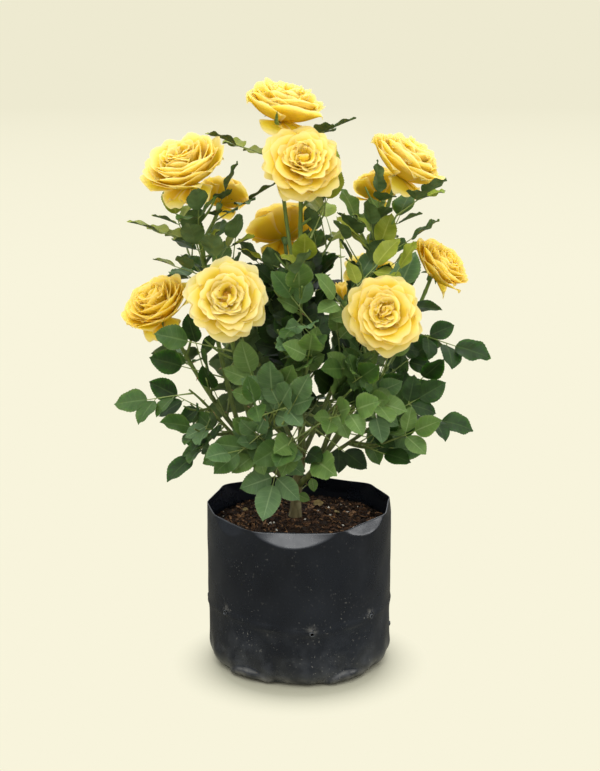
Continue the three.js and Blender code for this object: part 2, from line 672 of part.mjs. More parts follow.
// A closed solid turned from a profile of radius and height, with the bag's waves on its wall.
function turned(profile, lift) {
  const lathe = new THREE.LatheGeometry(profile.map(([r, z]) => new THREE.Vector2(r, z)), BAG.sides);
  return solid(
    shape(lathe, (x, y, z) => {
      const angle = Math.atan2(x, z);
      const r = Math.hypot(x, z);
      const wavy = r > 90 && y > 3 ? bagRadius(r, angle, y) : r;
      return [wavy * Math.sin(angle), -wavy * Math.cos(angle), y + lift(r, angle, y)];
    }),
  );
}

// One drainage hole's drill, which passes through the wall only.
function drill([at, height]) {
  const angle = (at * Math.PI) / 180;
  const out = [Math.sin(angle), -Math.cos(angle), 0];
  const place = (far) => add(mul(out, far), [0, 0, height]);
  return tube([place(BAG.radius - 8), place(BAG.radius + 8)], () => HOLE_RADIUS, 6);
}

function bagSolid() {
  const { radius: R, height: H, wall: w, hem, mouth } = BAG;
  const outer = [[0, 0], [R - hem, 0], [R - 4, 5], [R - 0.5, hem + 4], [R, 70], [R, mouth], [R, H]];
  const inner = outer.map(([r, z]) => [Math.max(r - w, 0), Math.max(z, w)]).reverse();
  const film = turned([...outer, ...inner], (r, angle, z) => (z > H - 10 ? rimLift(angle) : 0));
  return HOLES.reduce((made, hole) => made.subtract(drill(hole)), film);
}

function soilSolid() {
  const { radius: R, wall: w, hem, mouth } = BAG;
  const r = R - w - GAP;
  const floor = w + GAP;
  const profile = [
    [0, floor], [r - hem, floor], [r - 5, 8], [r - 1, hem + 6], [r - 0.3, 70], [r - 0.3, mouth],
    [80, SOIL_TOP - 3], [52, SOIL_TOP - 2], [20, SOIL_TOP], [0, SOIL_TOP],
  ];
  return turned(profile, (r, angle, z) => (z > SOIL_TOP - 6 ? lump(r, angle) : 0));
}

// The object
const plant = new THREE.Group();
const put = (name, made, look) => {
  const mesh = new THREE.Mesh(geometryOf(made), new THREE.MeshStandardMaterial({ ...look, metalness: 0 }));
  mesh.name = name;
  plant.add(mesh);
};

put("grow_bag", bagSolid(), COLOURS.bag);
put("compost", soilSolid(), COLOURS.soil);
put("trunk", trunkSolid(), COLOURS.bark);
const { limbs, masses } = grow();
const placed = { trunk: trunkSolid(GAP) };
for (const cane of CANES) {
  const limb = limbs[cane.name];
  put(`bough_${cane.name}`, cutClear(limbSolid(limb), Object.values(placed)), COLOURS.cane);
  placed[cane.name] = limbSolid(limb, GAP);
}
for (const mass of masses) put(`foliage_${mass.name}`, massSolid(mass, Object.values(placed)), COLOURS.leaf);

export default plant;
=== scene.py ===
import math
import random

import bpy
import numpy as np
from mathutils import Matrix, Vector, noise


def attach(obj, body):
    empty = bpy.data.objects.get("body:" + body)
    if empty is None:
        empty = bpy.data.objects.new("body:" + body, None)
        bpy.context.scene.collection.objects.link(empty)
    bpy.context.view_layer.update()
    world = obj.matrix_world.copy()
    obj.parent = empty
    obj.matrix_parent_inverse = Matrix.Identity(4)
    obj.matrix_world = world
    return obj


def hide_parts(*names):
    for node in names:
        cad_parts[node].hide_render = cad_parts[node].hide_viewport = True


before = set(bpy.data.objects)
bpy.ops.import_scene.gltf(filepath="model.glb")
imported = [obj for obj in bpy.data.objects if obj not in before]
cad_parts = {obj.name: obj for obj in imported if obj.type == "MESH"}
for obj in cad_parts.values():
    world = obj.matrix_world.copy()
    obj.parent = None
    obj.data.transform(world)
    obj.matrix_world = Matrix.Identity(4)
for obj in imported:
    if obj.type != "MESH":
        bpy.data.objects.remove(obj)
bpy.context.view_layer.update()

MM = 0.001
UP = np.array([0.0, 0.0, 1.0])
BODY = "root"

# Driving sizes of the bag, the compost and the trunk
BAG = {"radius": 101.0, "height": 176.0, "wall": 0.7, "hem": 14.0}
SOIL_TOP = 158.0
TRUNK = {"foot": (-5, 0, 158.3), "tip": (2, 3, 236), "foot_radius": 7.6, "tip_radius": 5.2}
HOLE_RADIUS = 1.7

# The flat facets of the bag's mouth: the way each looks, in degrees from the front towards +X, half
# of the angle that it spans, and its depth below the rim. Holes are at such an angle and a height.
FACETS = [
    (-4, 27, 16), (46, 20, 12), (-50, 16, 15), (-77, 11, 12), (82, 16, 12), (113, 15, 12), (155, 27, 20),
    (210, 28, 18), (255, 17, 12),
]
FACET_CUT = 0.95
LEDGES = [(-35, 19), (31, 18), (150, 20), (205, 16)]  # folds that stand out along the foot
HOLES = [(-52, 70), (7, 61), (48, 68), (88, 34), (140, 66), (186, 60), (232, 70), (262, 62)]

# Blooms: the middle of each flower, its radius, the way it faces, how far it has opened, its tone,
# and how many of its outermost petals hang.
BLOOMS = {
    "top_front": ((3, -30, 554), 44, (0.05, -0.8, 0.6), 0.95, "warm", 2),
    "top_back": ((-18, 45, 604), 40, (0.1, 0.35, 0.93), 0.5, "warm", 4),
    "left_upper": ((-117, -20, 543), 42, (-0.2, -0.5, 0.84), 0.6, "warm", 3),
    "left_inner": ((-84, 50, 508), 27, (0.2, 0.5, 0.84), 0.55, "deep", 1),
    "right_upper": ((113, 10, 547), 39, (0.5, -0.15, 0.85), 0.55, "warm", 3),
    "right_inner": ((87, 60, 515), 27, (-0.15, 0.6, 0.8), 0.55, "deep", 1),
    "centre_back": ((-21, 70, 472), 37, (-0.2, 0.6, 0.78), 0.65, "deep", 2),
    "right_mid": ((150, 20, 434), 32, (0.45, -0.5, 0.73), 0.45, "deep", 1),
    "left_mid": ((-154, -10, 394), 37, (-0.5, -0.6, 0.6), 0.5, "deep", 3),
    "left_front": ((-73, -110, 421), 43, (0, -0.95, 0.3), 1.0, "pale", 2),
    "right_front": ((85, -100, 404), 42, (0.05, -0.93, 0.36), 1.0, "warm", 3),
    "bud": ((44, -60, 413), 12, (-0.2, -0.3, 0.93), 0.1, "deep", 0),
    "back_left": ((-80, 108, 400), 36, (-0.4, 0.8, 0.45), 0.9, "warm", 3),
    "back_right": ((86, 112, 412), 37, (0.4, 0.82, 0.4), 0.95, "warm", 3),
}

# Canes in the order in which they grow: the limb that each leaves, the share of its length, how wide
# of upright it leaves, the share at which it enters its mass, its radius, the tries at leafy twigs,
# its blooms with the forks of all but the first, and its tip where it has no bloom.
CANES = [
    ("crown", "trunk", 1, 0.15, 0.12, 4.0, 3, ["top_front", "top_back", "centre_back"], [0.2, 0.08], None),
    ("right_front", "trunk", 0.42, 1.1, 0.34, 3.5, 0, ["right_front", "bud"], [0.62], None),
    ("left_mid", "trunk", 0.4, 1.3, 0.4, 3.4, 0, ["left_mid"], [], None),
    ("front_middle", "trunk", 0.74, 0.9, 0.3, 3.0, 2, [], [], (2, -74, 425)),
    ("back_low", "trunk", 0.55, 1.1, 0.34, 3.1, 2, [], [], (4, 98, 350)),
    ("left_front", "left_mid", 0.5, 0.8, 0.26, 2.8, 0, ["left_front"], [], None),
    ("left_upper", "left_mid", 0.82, 0.35, 0.2, 2.8, 0, ["left_upper", "left_inner"], [0.62], None),
    ("left_low", "left_mid", 0.66, 1.6, 0.24, 2.7, 1, [], [], (-118, -22, 306)),
    ("right_upper", "right_front", 0.42, 0.5, 0.2, 2.9, 0, ["right_upper", "right_inner"], [0.6], None),
    ("right_mid", "right_front", 0.72, 1.0, 0.2, 2.8, 0, ["right_mid"], [], None),
    ("right_low", "right_front", 0.56, 1.6, 0.26, 2.7, 1, [], [], (112, -18, 292)),
    ("back_left", "back_low", 0.5, 0.9, 0.24, 2.7, 0, ["back_left"], [], None),
    ("back_right", "trunk", 0.85, 0.9, 0.26, 3.0, 0, ["back_right"], [], None),
    ("front_right", "front_middle", 0.56, 1.2, 0.22, 2.6, 0, [], [], (52, -92, 322)),
    ("front_left", "front_middle", 0.36, 1.3, 0.24, 2.6, 0, [], [], (-42, -84, 296)),
]

# Tips of the leaves that give the crown its outline
REACH = [
    (-98, 15, 573), (58, 34, 588), (-66, 2, 544), (81, -5, 546), (-26, 4, 522),
    (-2, -85, 453), (46, -40, 494), (16, -90, 439), (-60, -66, 368), (4, -104, 374),
    (-179, -15, 484), (-118, 12, 491), (-154, -10, 444), (-149, -58, 373),
    (-160, -5, 337), (-98, -40, 352), (-163, 18, 305), (-199, -5, 286), (-147, -38, 274), (-140, -50, 213),
    (145, 0, 484), (102, -38, 468), (118, -45, 455), (149, -16, 391), (202, -10, 338),
    (184, -25, 262), (130, -52, 246), (104, 24, 236), (146, 22, 300), (150, 40, 350),
    (-38, -97, 186), (-69, -62, 233), (-17, -112, 251), (-9, -127, 334), (50, -128, 312), (22, -98, 249),
    (70, -46, 226), (36, -88, 340), (91, -118, 295),
    (-46, 92, 430), (30, 70, 440), (-30, 140, 290), (52, 132, 300), (8, 120, 236), (-150, 92, 330),
    (-92, 128, 296), (-140, 80, 420), (150, 96, 340), (96, 134, 300), (142, 84, 436),
]

# The rule of growth
CANE_STEPS, TWIG_STEPS = 30, 10
STEM_TIP_RADIUS, BARE_TIP_RADIUS = 1.9, 1.0
LEAF = {"length": 47.0, "width": 0.7, "belly": 0.42, "fold": 0.07}
RACHIS = 1.2
LEAF_STEP = {"low": 17.0, "high": 55.0}
REACH_LENGTH = 84.0
TURN = 2.39996  # the golden angle in radians, from one leaf to the next
ANY_WAY = 6.28  # the range of a drawn direction, in radians
LEAF_FLOOR = BAG["height"] + 7
SHOOT = {"length": 62.0, "open": 0.95, "steps": 4, "radius": 1.5}
SKIRT = {"low": 208.0, "rise": 0.34, "inner": 50.0}
CROWN_RADIUS, REACH_RADIUS, REACH_UNDER = 130.0, 190.0, 30.0
SPACE_MARGIN, LIMB_MARGIN, REACH_CLEAR = 1.2, 1.5, 4.0
SIGHT = {"long": 150.0, "rise": 0.12, "share": 0.7, "least": 30.0}
CROWDING = 0.48
BARE_NECK = 75.0
HIGH = 475.0

# The finer growth that the solids leave out: closer leaves, then small twigs with leaves of their own
FINE = {
    "crowding": 0.31, "inner_crowding": 0.25, "high_crowding": 0.8, "step": 8.0, "scale": 0.86,
    "twig_step": 24.0, "twig": 40.0, "inner_radius": 95.0, "inner_edge": 40.0,
}


def vec(*values):
    return np.array(values, float)


def unit(v):
    return v / np.linalg.norm(v)


def square_to(v, axis):
    return unit(v - axis * float(np.dot(v, axis)))


def any_side(axis):
    return square_to(UP if abs(axis[2]) < 0.9 else vec(1, 0, 0), axis)


def clamp(value, low=0.0, high=1.0):
    return min(max(value, low), high)


def smooth(x):
    x = np.clip(x, 0, 1)
    return x * x * (3 - 2 * x)


def seeded(seed):
    """A stream of numbers from 0 to 1 that only depends on its seed, as in the part's source."""
    state = [seed * 7919 + 17]

    def draw():
        state[0] = (state[0] * 1664525 + 1013904223) % 4294967296
        return state[0] / 4294967296

    return draw


def curve(start, start_dir, end, end_dir, steps):
    pull = 0.36 * np.linalg.norm(end - start)
    a, b = start + start_dir * pull, end - end_dir * pull
    t = np.linspace(0, 1, steps + 1)[:, None]
    u = 1 - t
    return u**3 * start + 3 * u * u * t * a + 3 * u * t * t * b + t**3 * end


def along(path, share):
    place = clamp(share) * (len(path) - 1)
    i = min(int(place), len(path) - 2)
    return path[i] + (path[i + 1] - path[i]) * (place - i), unit(path[i + 1] - path[i])


def path_length(path):
    return float(np.linalg.norm(np.diff(path, axis=0), axis=1).sum())


def around(side, other, angle):
    """The way at an angle round an axis that two unit vectors stand square to."""
    return side * math.cos(angle) + other * math.sin(angle)


def wrapped(angle):
    """An angle brought between minus and plus half a turn."""
    return (angle + math.pi) % math.tau - math.pi


# The way the petals of some blooms look, which have nodded or risen a little on their stalk
PETALS_FACE = {
    "left_upper": (-0.3, -0.4, 0.87), "top_back": (0.2, -0.12, 0.97), "right_upper": (0.52, -0.2, 0.83),
    "right_mid": (0.62, -0.3, 0.72), "left_mid": (-0.45, -0.42, 0.79),
}


class Bloom:
    """Where a bloom sits, and the way it faces."""

    def __init__(self, name):
        at, self.radius, faces, self.open, self.tone, self.hanging = BLOOMS[name]
        self.name, self.at, self.up = name, vec(*at), unit(vec(*faces))
        self.seat = self.at - self.up * self.radius * 0.5
        self.heart = self.at - self.up * self.radius * 0.3
        self.neck = unit(self.up + UP * 0.7)
        self.ball = (self.at - self.up * 0.04 * self.radius, self.radius * 1.04)


class Mass:
    """One mass of stems, twigs, leaves and blooms, which keeps to its own space."""

    def __init__(self, name, index, shoots, stems, blooms):
        self.name, self.shoots = name, shoots
        self.paths, self.blooms = stems, blooms
        self.random = seeded(index + 1)
        self.spines, self.shoot_ends, self.leaflets, self.leaves, self.fine_twigs = [], [], [], [], []

    def capsules(self):
        rows = [(a, b, 0.0) for path in self.paths for a, b in zip(path[:-1], path[1:])]
        rows += [(b.ball[0], b.ball[0] + UP * 1e-3, b.ball[1]) for b in self.blooms]
        return rows + self.spines


def from_capsules(points, a, ab, radius):
    rel = points[:, None] - a
    t = np.clip((rel * ab).sum(2) / (ab * ab).sum(1), 0, 1)
    return np.linalg.norm(rel - t[..., None] * ab, axis=2) - radius


class Space:
    """The room that the limbs and the masses share."""

    def __init__(self):
        self.limbs, self.masses = {}, []
        self.stale = True
        large = [Bloom(name) for name in BLOOMS if BLOOMS[name][1] > SIGHT["least"]]
        self.sight_a = np.array([b.at for b in large])
        ways = [vec(0, -1 if b.at[1] < 90 else 1, SIGHT["rise"]) for b in large]
        self.sight_ab = np.array(ways) * SIGHT["long"]
        self.sight_radius = np.array([b.radius for b in large]) * SIGHT["share"]

    def refresh(self):
        rows, self.starts = [], []
        for mass in self.masses:
            self.starts.append(len(rows))
            rows += mass.capsules()
        self.a = np.array([r[0] for r in rows])
        self.ab = np.array([r[1] for r in rows]) - self.a
        self.radius = np.array([r[2] for r in rows])
        rows = [(a, b, limb[1]) for limb in self.limbs.values() for a, b in zip(limb[0][:-1], limb[0][1:])]
        self.limb_a = np.array([r[0] for r in rows])
        self.limb_ab = np.array([r[1] for r in rows]) - self.limb_a
        self.limb_radius = np.array([r[2] for r in rows]) + LIMB_MARGIN
        self.stale = False

    def gaps(self, points):
        """How far each point is from each mass."""
        if self.stale:
            self.refresh()
        return np.minimum.reduceat(from_capsules(points, self.a, self.ab, self.radius), self.starts, axis=1)

    def free(self, points, mass, near=0.8):
        if self.stale:
            self.refresh()
        if points[:, 2].min() < LEAF_FLOOR:
            return False
        if from_capsules(points, self.sight_a, self.sight_ab, self.sight_radius).min() < 0:
            return False
        for bloom in mass.blooms:
            centre, radius = bloom.ball
            if np.linalg.norm(points - centre, axis=1).min() < radius * near:
                return False
        return from_capsules(points, self.limb_a, self.limb_ab, self.limb_radius).min() > 0

    def own(self, points, mass, wide=CROWN_RADIUS, under=0.0):
        out = np.hypot(points[:, 0], points[:, 1])
        skirt = SKIRT["low"] + SKIRT["rise"] * (out - SKIRT["inner"]) - under
        if out.max() > wide or (points[:, 2] < skirt).any() or not self.free(points, mass, near=1.0):
            return False
        gaps = self.gaps(points)
        own = gaps[:, self.masses.index(mass)].copy()
        gaps[:, self.masses.index(mass)] = np.inf
        return bool((gaps.min(1) > own + 2 * SPACE_MARGIN).all())

    def clear(self, points, mass):
        if not self.free(points, mass):
            return False
        gaps = self.gaps(points)
        gaps[:, self.masses.index(mass)] = np.inf
        return gaps.min() > REACH_CLEAR


def lowness(p):
    return clamp((HIGH - p[2]) / 150)


def facing(p, mass):
    """The way a leaf's upper face looks: up at the top of the plant, and out to the light lower down."""
    low = lowness(p)
    light = vec(0, -1 if p[1] < 40 else 1, 0) * (0.15 + 0.75 * low) * (0.4 + 1.1 * mass.random())
    return UP * (1 - 0.45 * low) + unit(vec(p[0], p[1], 0)) * (0.3 + 0.3 * low) + light


class Leaflet:
    def __init__(self, root, direction, face, length):
        self.root, self.dir, self.length = root, direction, length
        self.up = square_to(face, direction)
        self.side = np.cross(self.up, direction)
        self.middle = root + direction * length * LEAF["belly"]

    def points(self):
        half = self.side * self.length * LEAF["width"] * 0.5
        edge = self.middle + self.up * self.length * LEAF["fold"]
        tip = self.root + self.dir * self.length
        return [tip, edge + half, edge - half, self.middle, (self.middle + tip) / 2]


def is_crowded(leaflet, mass, crowding):
    for other in mass.leaflets:
        if np.linalg.norm(leaflet.middle - other.middle) < crowding * 0.5 * (other.length + leaflet.length):
            return True
    return False


def leaf_start(base, direction, whole, fits, mass, crowding):
    end_length = clamp(whole / (1 + RACHIS), 20, 50)
    joint = base + direction * (whole - end_length)
    end = Leaflet(joint, direction, facing(joint, mass), end_length)
    stalk = [base + (joint - base) * t for t in (0.35, 0.7, 0.9)]
    if is_crowded(end, mass, crowding) or not fits(np.array(stalk + end.points())):
        return None
    mass.leaflets.append(end)
    leaf = {"base": base, "joint": joint, "dir": direction, "leaflets": [end], "shares": [1.0]}
    mass.leaves.append(leaf)
    return leaf


def add_pairs(leaf, pairs, fits, mass, crowding):
    end = leaf["leaflets"][0]
    side = np.cross(end.up, leaf["dir"])
    for row, share in enumerate([0.88, 0.45] if pairs == 2 else [0.78]):
        for hand in (-1, 1):
            turn = 0.95 + 0.3 * (mass.random() - 0.5)
            way = unit(leaf["dir"] * math.cos(turn) + side * hand * math.sin(turn))
            root = leaf["base"] + (leaf["joint"] - leaf["base"]) * share
            one = Leaflet(root, way, facing(root, mass), end.length * (0.86 - 0.12 * row))
            if not is_crowded(one, mass, crowding) and fits(np.array(one.points())):
                mass.leaflets.append(one)
                leaf["leaflets"].append(one)
                leaf["shares"].append(share)


def reach_leaf(tip, space):
    """A leaf whose tip is at a stated place, from the part of a stem near it that suits it best."""
    near = np.argsort(space.gaps(tip[None])[0], kind="stable")[:5]
    places = []
    for mass in (space.masses[i] for i in near):
        for path in mass.paths:
            for i in range(23):
                point, way = along(path, (i + 1) / 25)
                whole = tip - point
                long = np.linalg.norm(whole)
                backward = max(0.1 - float(np.dot(whole, way)) / long, 0)
                places.append((abs(long - REACH_LENGTH) + 30 * backward, mass, whole, point))
    places.sort(key=lambda place: place[0])
    for miss, mass, whole, base in places:
        if miss > 46:
            break
        leaf = leaf_start(
            base, unit(whole), np.linalg.norm(whole), lambda p, m=mass: space.clear(p, m), mass, CROWDING
        )
        if leaf:
            length = leaf["leaflets"][0].length
            mass.spines += [(leaf["joint"], tip, length * 0.33), (base, leaf["joint"], 2.0)]
            space.stale = True
            return leaf, mass
    return None


def sideways(direction, azimuth, opening):
    level = any_side(direction)
    return around(direction, around(level, np.cross(direction, level), azimuth), opening)


def grow_shoots(mass, space, count, length, first, span, kept):
    """Leafy twigs from the stem of a mass, turned until they keep to its space, or else left out."""
    azimuth = mass.random() * ANY_WAY
    for i in range(count):
        point, way = along(mass.paths[0], first + span * i / count)
        azimuth += TURN
        for k in range(8):
            out = unit(sideways(way, azimuth + k * 0.8, SHOOT["open"]))
            end = point + unit(out + UP * 0.25) * length
            shoot = curve(point, out, end, unit(out + UP * 0.7), SHOOT["steps"])
            if not all(space.own(p[None], mass) for p in shoot[1:]):
                continue
            if any(np.linalg.norm(p - end) < 0.6 * length for p in mass.shoot_ends):
                continue
            kept.append(shoot)
            mass.shoot_ends.append(end)
            space.stale = True
            break


TIP_LEAF, TIP_CROWDING, TIP_RADIUS = 78.0, 0.5, 165.0

# Turn, opening, scale and pairs of leaflets of each try at a leaf
TRIES = [
    (0, 1.25, 1, 2), (0.5, 1.2, 1, 2), (-0.5, 1.2, 1, 2), (1.0, 1.0, 0.9, 2), (-1.0, 1.0, 0.9, 2),
    (0, 0.8, 0.85, 2), (1.6, 1.1, 0.8, 1), (-1.6, 1.1, 0.8, 1), (0, 0.6, 0.75, 1),
    (2.4, 0.9, 0.75, 1), (-2.4, 0.9, 0.75, 1),
]


def tip_leaf(path, mass, space):
    """A leaf that carries on a stem without a bloom."""

    def fits(points):
        return space.own(points, mass, TIP_RADIUS)

    _, way = along(path, 1)
    azimuth = mass.random() * ANY_WAY
    for k in range(12):
        out = unit(sideways(way, azimuth + k * 1.1, 0.12 * k) - UP * 0.15)
        leaf = leaf_start(path[-1], out, TIP_LEAF, fits, mass, TIP_CROWDING)
        if leaf:
            add_pairs(leaf, 1, fits, mass, TIP_CROWDING)
            return


def leaves_along(path, bloom_end, mass, space, fine=False):
    """Leaves round a stem at even steps, each a golden angle on from the last."""

    def fits(points):
        return space.own(points, mass)

    long, end = path_length(path), path[-1]
    azimuth = mass.random() * ANY_WAY
    at = 8.0
    while at < long - 4:
        point, way = along(path, at / long)
        low = lowness(point)
        step = FINE["step"] if fine else LEAF_STEP["high"] + (LEAF_STEP["low"] - LEAF_STEP["high"]) * low
        at += step
        azimuth += TURN
        vigour = 0.84 + 0.3 * mass.random()
        if bloom_end and np.linalg.norm(end - point) < BARE_NECK or fine and low < 0.1:
            continue
        inner = clamp((FINE["inner_radius"] - math.hypot(point[0], point[1])) / FINE["inner_edge"])
        dense = FINE["crowding"] + (FINE["inner_crowding"] - FINE["crowding"]) * inner
        crowding = FINE["high_crowding"] + (dense - FINE["high_crowding"]) * low if fine else CROWDING
        size = FINE["scale"] if fine else 1.0
        sparse = low < 0.2
        for turn, opening, scale, pairs in TRIES:
            out = unit(sideways(way, azimuth + turn, opening) + UP * (-0.1 - 0.35 * low))
            whole = LEAF["length"] * (1 + RACHIS) * scale * vigour * size
            leaf = leaf_start(point, out, whole, fits, mass, crowding)
            if leaf:
                add_pairs(leaf, min(pairs, 1) if sparse else pairs, fits, mass, crowding)
                break


def grow():
    """The part's own growth, and then the finer growth in what room is left."""
    space = Space()
    foot, tip = vec(*TRUNK["foot"]), vec(*TRUNK["tip"])
    trunk = curve(foot, UP, tip, unit(tip - foot), 6)
    space.limbs["trunk"] = (trunk, TRUNK["foot_radius"])
    for index, cane in enumerate(CANES):
        name, parent, at, spread, enters, radius, shoots, blooms, forks, bare_tip = cane
        start, _ = along(space.limbs[parent][0], at)
        blooms = [Bloom(b) for b in blooms]
        end = blooms[0].seat if blooms else vec(*bare_tip)
        flat = vec(end[0] - start[0], end[1] - start[1], 0)
        wide = min(np.linalg.norm(flat) / 60, 1) * spread
        start_dir = unit(UP + unit(flat) * wide)
        end_dir = blooms[0].neck if blooms else unit(unit(flat) + UP * 0.8)
        whole = curve(start, start_dir, end, end_dir, CANE_STEPS)
        split = int(enters * CANE_STEPS + 0.5)
        space.limbs[name] = (whole[: split + 1], radius)
        stem = np.vstack([whole[split:], blooms[0].heart]) if blooms else whole[split:]
        stems = [stem]
        for bloom, fork in zip(blooms[1:], forks):
            point, way = along(stem, fork)
            stems.append(np.vstack([curve(point, way, bloom.seat, bloom.neck, TWIG_STEPS), bloom.heart]))
        space.masses.append(Mass(name, index, shoots, stems, blooms))
    reaching = [reach_leaf(vec(*t), space) for t in REACH]
    for leaf, mass in filter(None, reaching):
        pairs = 2 if np.linalg.norm(leaf["joint"] - leaf["base"]) > 30 else 1
        add_pairs(leaf, pairs, lambda p, m=mass: space.own(p, m, REACH_RADIUS, REACH_UNDER), mass, CROWDING)
    for mass in space.masses:
        grow_shoots(mass, space, mass.shoots, SHOOT["length"], 0.12, 0.55, mass.paths)
    for mass in space.masses:
        for path in mass.paths[len(mass.blooms) :]:
            tip_leaf(path, mass, space)
        for i, path in enumerate(mass.paths):
            leaves_along(path, i < len(mass.blooms), mass, space)
    for mass in space.masses:
        for i, path in enumerate(mass.paths):
            leaves_along(path, i < len(mass.blooms), mass, space, fine=True)
        count = int(path_length(mass.paths[0]) / FINE["twig_step"])
        grow_shoots(mass, space, count, FINE["twig"], 0.06, 0.8, mass.fine_twigs)
        for path in mass.fine_twigs:
            tip_leaf(path, mass, space)
            leaves_along(path, False, mass, space, fine=True)
    return space


RIM_ANGLE = math.radians(80)  # faces that meet at more than this keep their edge crisp


class Build:
    """Points, faces, material numbers and maps of one joined mesh."""

    def __init__(self):
        self.points, self.blocks, self.count = [], [], 0

    def put(self, points):
        """Adds points and returns the number of the first."""
        self.points.append(np.asarray(points, float))
        self.count += len(points)
        return self.count - len(points)

    def faces(self, first, faces, kind=0, grain=None, cell=None):
        """Adds faces whose corners count from `first`, with a pattern map and a place on the sheet."""
        faces = np.asarray(faces)
        corners = faces.ravel()
        blank = np.zeros((len(corners), 2))
        grain = blank if grain is None else np.asarray(grain)[corners]
        cell = blank if cell is None else np.asarray(cell)[corners]
        self.blocks.append((corners + first, faces.shape[1], kind, grain, cell))

    def make(self, name, looks, sheet=False):
        """The piece as an object in metres, riding on the plant's one body."""
        mesh = bpy.data.meshes.new(name)
        points = np.vstack(self.points) * MM
        corners = np.concatenate([b[0] for b in self.blocks])
        totals = np.concatenate([np.full(len(b[0]) // b[1], b[1]) for b in self.blocks])
        kinds = np.concatenate([np.full(len(b[0]) // b[1], b[2]) for b in self.blocks])
        mesh.vertices.add(len(points))
        mesh.vertices.foreach_set("co", points.astype(np.float32).ravel())
        mesh.loops.add(len(corners))
        mesh.loops.foreach_set("vertex_index", corners.astype(np.int32))
        mesh.polygons.add(len(totals))
        starts = np.concatenate([[0], np.cumsum(totals)[:-1]])
        mesh.polygons.foreach_set("loop_start", starts.astype(np.int32))
        mesh.polygons.foreach_set("loop_total", totals.astype(np.int32))
        mesh.polygons.foreach_set("material_index", kinds.astype(np.int32))
        mesh.polygons.foreach_set("use_smooth", np.ones(len(totals), bool))
        grain = mesh.uv_layers.new(name="grain")
        grain.uv.foreach_set("vector", np.concatenate([b[3] for b in self.blocks]).astype(np.float32).ravel())
        if sheet:
            layer = mesh.uv_layers.new(name="OFBake")
            cells = np.concatenate([b[4] for b in self.blocks])
            layer.uv.foreach_set("vector", cells.astype(np.float32).ravel())
        for look in looks:
            mesh.materials.append(MATERIALS[look])
        mesh.update(calc_edges=True)
        mesh.validate()
        mesh.set_sharp_from_angle(angle=RIM_ANGLE)
        piece = bpy.data.objects.new(name, mesh)
        bpy.context.scene.collection.objects.link(piece)
        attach(piece, BODY)
        return piece


class Sheet:
    """Square cells of a bake map, handed out one after another."""

    MARGIN = 0.06

    def __init__(self, cells):
        self.side = max(math.ceil(math.sqrt(cells)), 1)
        self.used = 0

    def cell(self, uv):
        """The map places of points that have a place from 0 to 1 in their own cell."""
        column, row = self.used % self.side, self.used // self.side
        self.used += 1
        inner = self.MARGIN + (1 - 2 * self.MARGIN) * np.asarray(uv)
        return (inner + (column, row)) / self.side


def corners_of(grid):
    """The point numbers at the four corners of each quad of a grid."""
    return grid[:-1, :-1], grid[:-1, 1:], grid[1:, 1:], grid[1:, :-1]


def grid_faces(rows, columns):
    """Quads between rows of points that were numbered row by row."""
    grid = np.arange(rows * columns).reshape(rows, columns)
    return np.stack(corners_of(grid), axis=-1).reshape(-1, 4)


def ring_faces(rows, sides):
    """Quads round a tube whose rings were numbered ring by ring."""
    i = np.arange(rows - 1)[:, None] * sides
    j = np.arange(sides)[None]
    k = (j + 1) % sides
    return np.stack([i + j, i + k, i + k + sides, i + j + sides], axis=-1).reshape(-1, 4)


def cap_faces(start, sides, pole, back=False):
    """Triangles from a ring of points, whose first is given, to the point that closes it."""
    here = start + np.arange(sides)
    after = start + (np.arange(sides) + 1) % sides
    rim = [after, here] if back else [here, after]
    return np.stack([*rim, np.full(sides, pole)], 1)


def frames(path):
    """Two unit vectors square to a path at each of its points, turned as little as can be."""
    ways = [unit(path[min(i + 1, len(path) - 1)] - path[max(i - 1, 0)]) for i in range(len(path))]
    side = any_side(ways[0])
    sides = []
    for way in ways:
        side = square_to(side, way)
        sides.append(side)
    return np.array(sides), np.cross(ways, sides)


def tube(build, path, radii, sides, kind=0, relief=None):
    """A closed tube along a path. The relief is a radial height for each ring and side."""
    path = np.asarray(path)
    side, other = frames(path)
    turn = np.linspace(0, math.tau, sides, endpoint=False)
    radii = np.broadcast_to(np.asarray(radii, float), (len(path),))[:, None]
    radii = radii + (relief if relief is not None else np.zeros((len(path), sides)))
    rings = (
        path[:, None]
        + side[:, None] * (np.cos(turn) * radii)[..., None]
        + other[:, None] * (np.sin(turn) * radii)[..., None]
    )
    points = np.vstack([rings.reshape(-1, 3), path[0], path[-1]])
    first = build.put(points)
    share = np.repeat(np.linspace(0, 1, len(path)), sides)
    grain = np.vstack([np.stack([np.tile(turn / math.tau, len(path)), share], 1), [0.5, 0], [0.5, 1]])
    build.faces(first, ring_faces(len(path), sides), kind, grain)
    build.faces(first, cap_faces(0, sides, len(points) - 2, back=True), kind, grain)
    build.faces(first, cap_faces((len(path) - 1) * sides, sides, len(points) - 1), kind, grain)


def resample(path, count):
    """A path with evenly spaced points."""
    steps = np.linalg.norm(np.diff(path, axis=0), axis=1)
    at = np.concatenate([[0], np.cumsum(steps)])
    want = np.linspace(0, at[-1], count)
    return np.stack([np.interp(want, at, path[:, k]) for k in range(3)], 1)


# Materials
def srgb(text):
    """A colour given as six hexadecimal digits, as linear light."""
    parts = [int(text[i : i + 2], 16) / 255 for i in (0, 2, 4)]
    return tuple(p / 12.92 if p <= 0.04045 else ((p + 0.055) / 1.055) ** 2.4 for p in parts) + (1.0,)


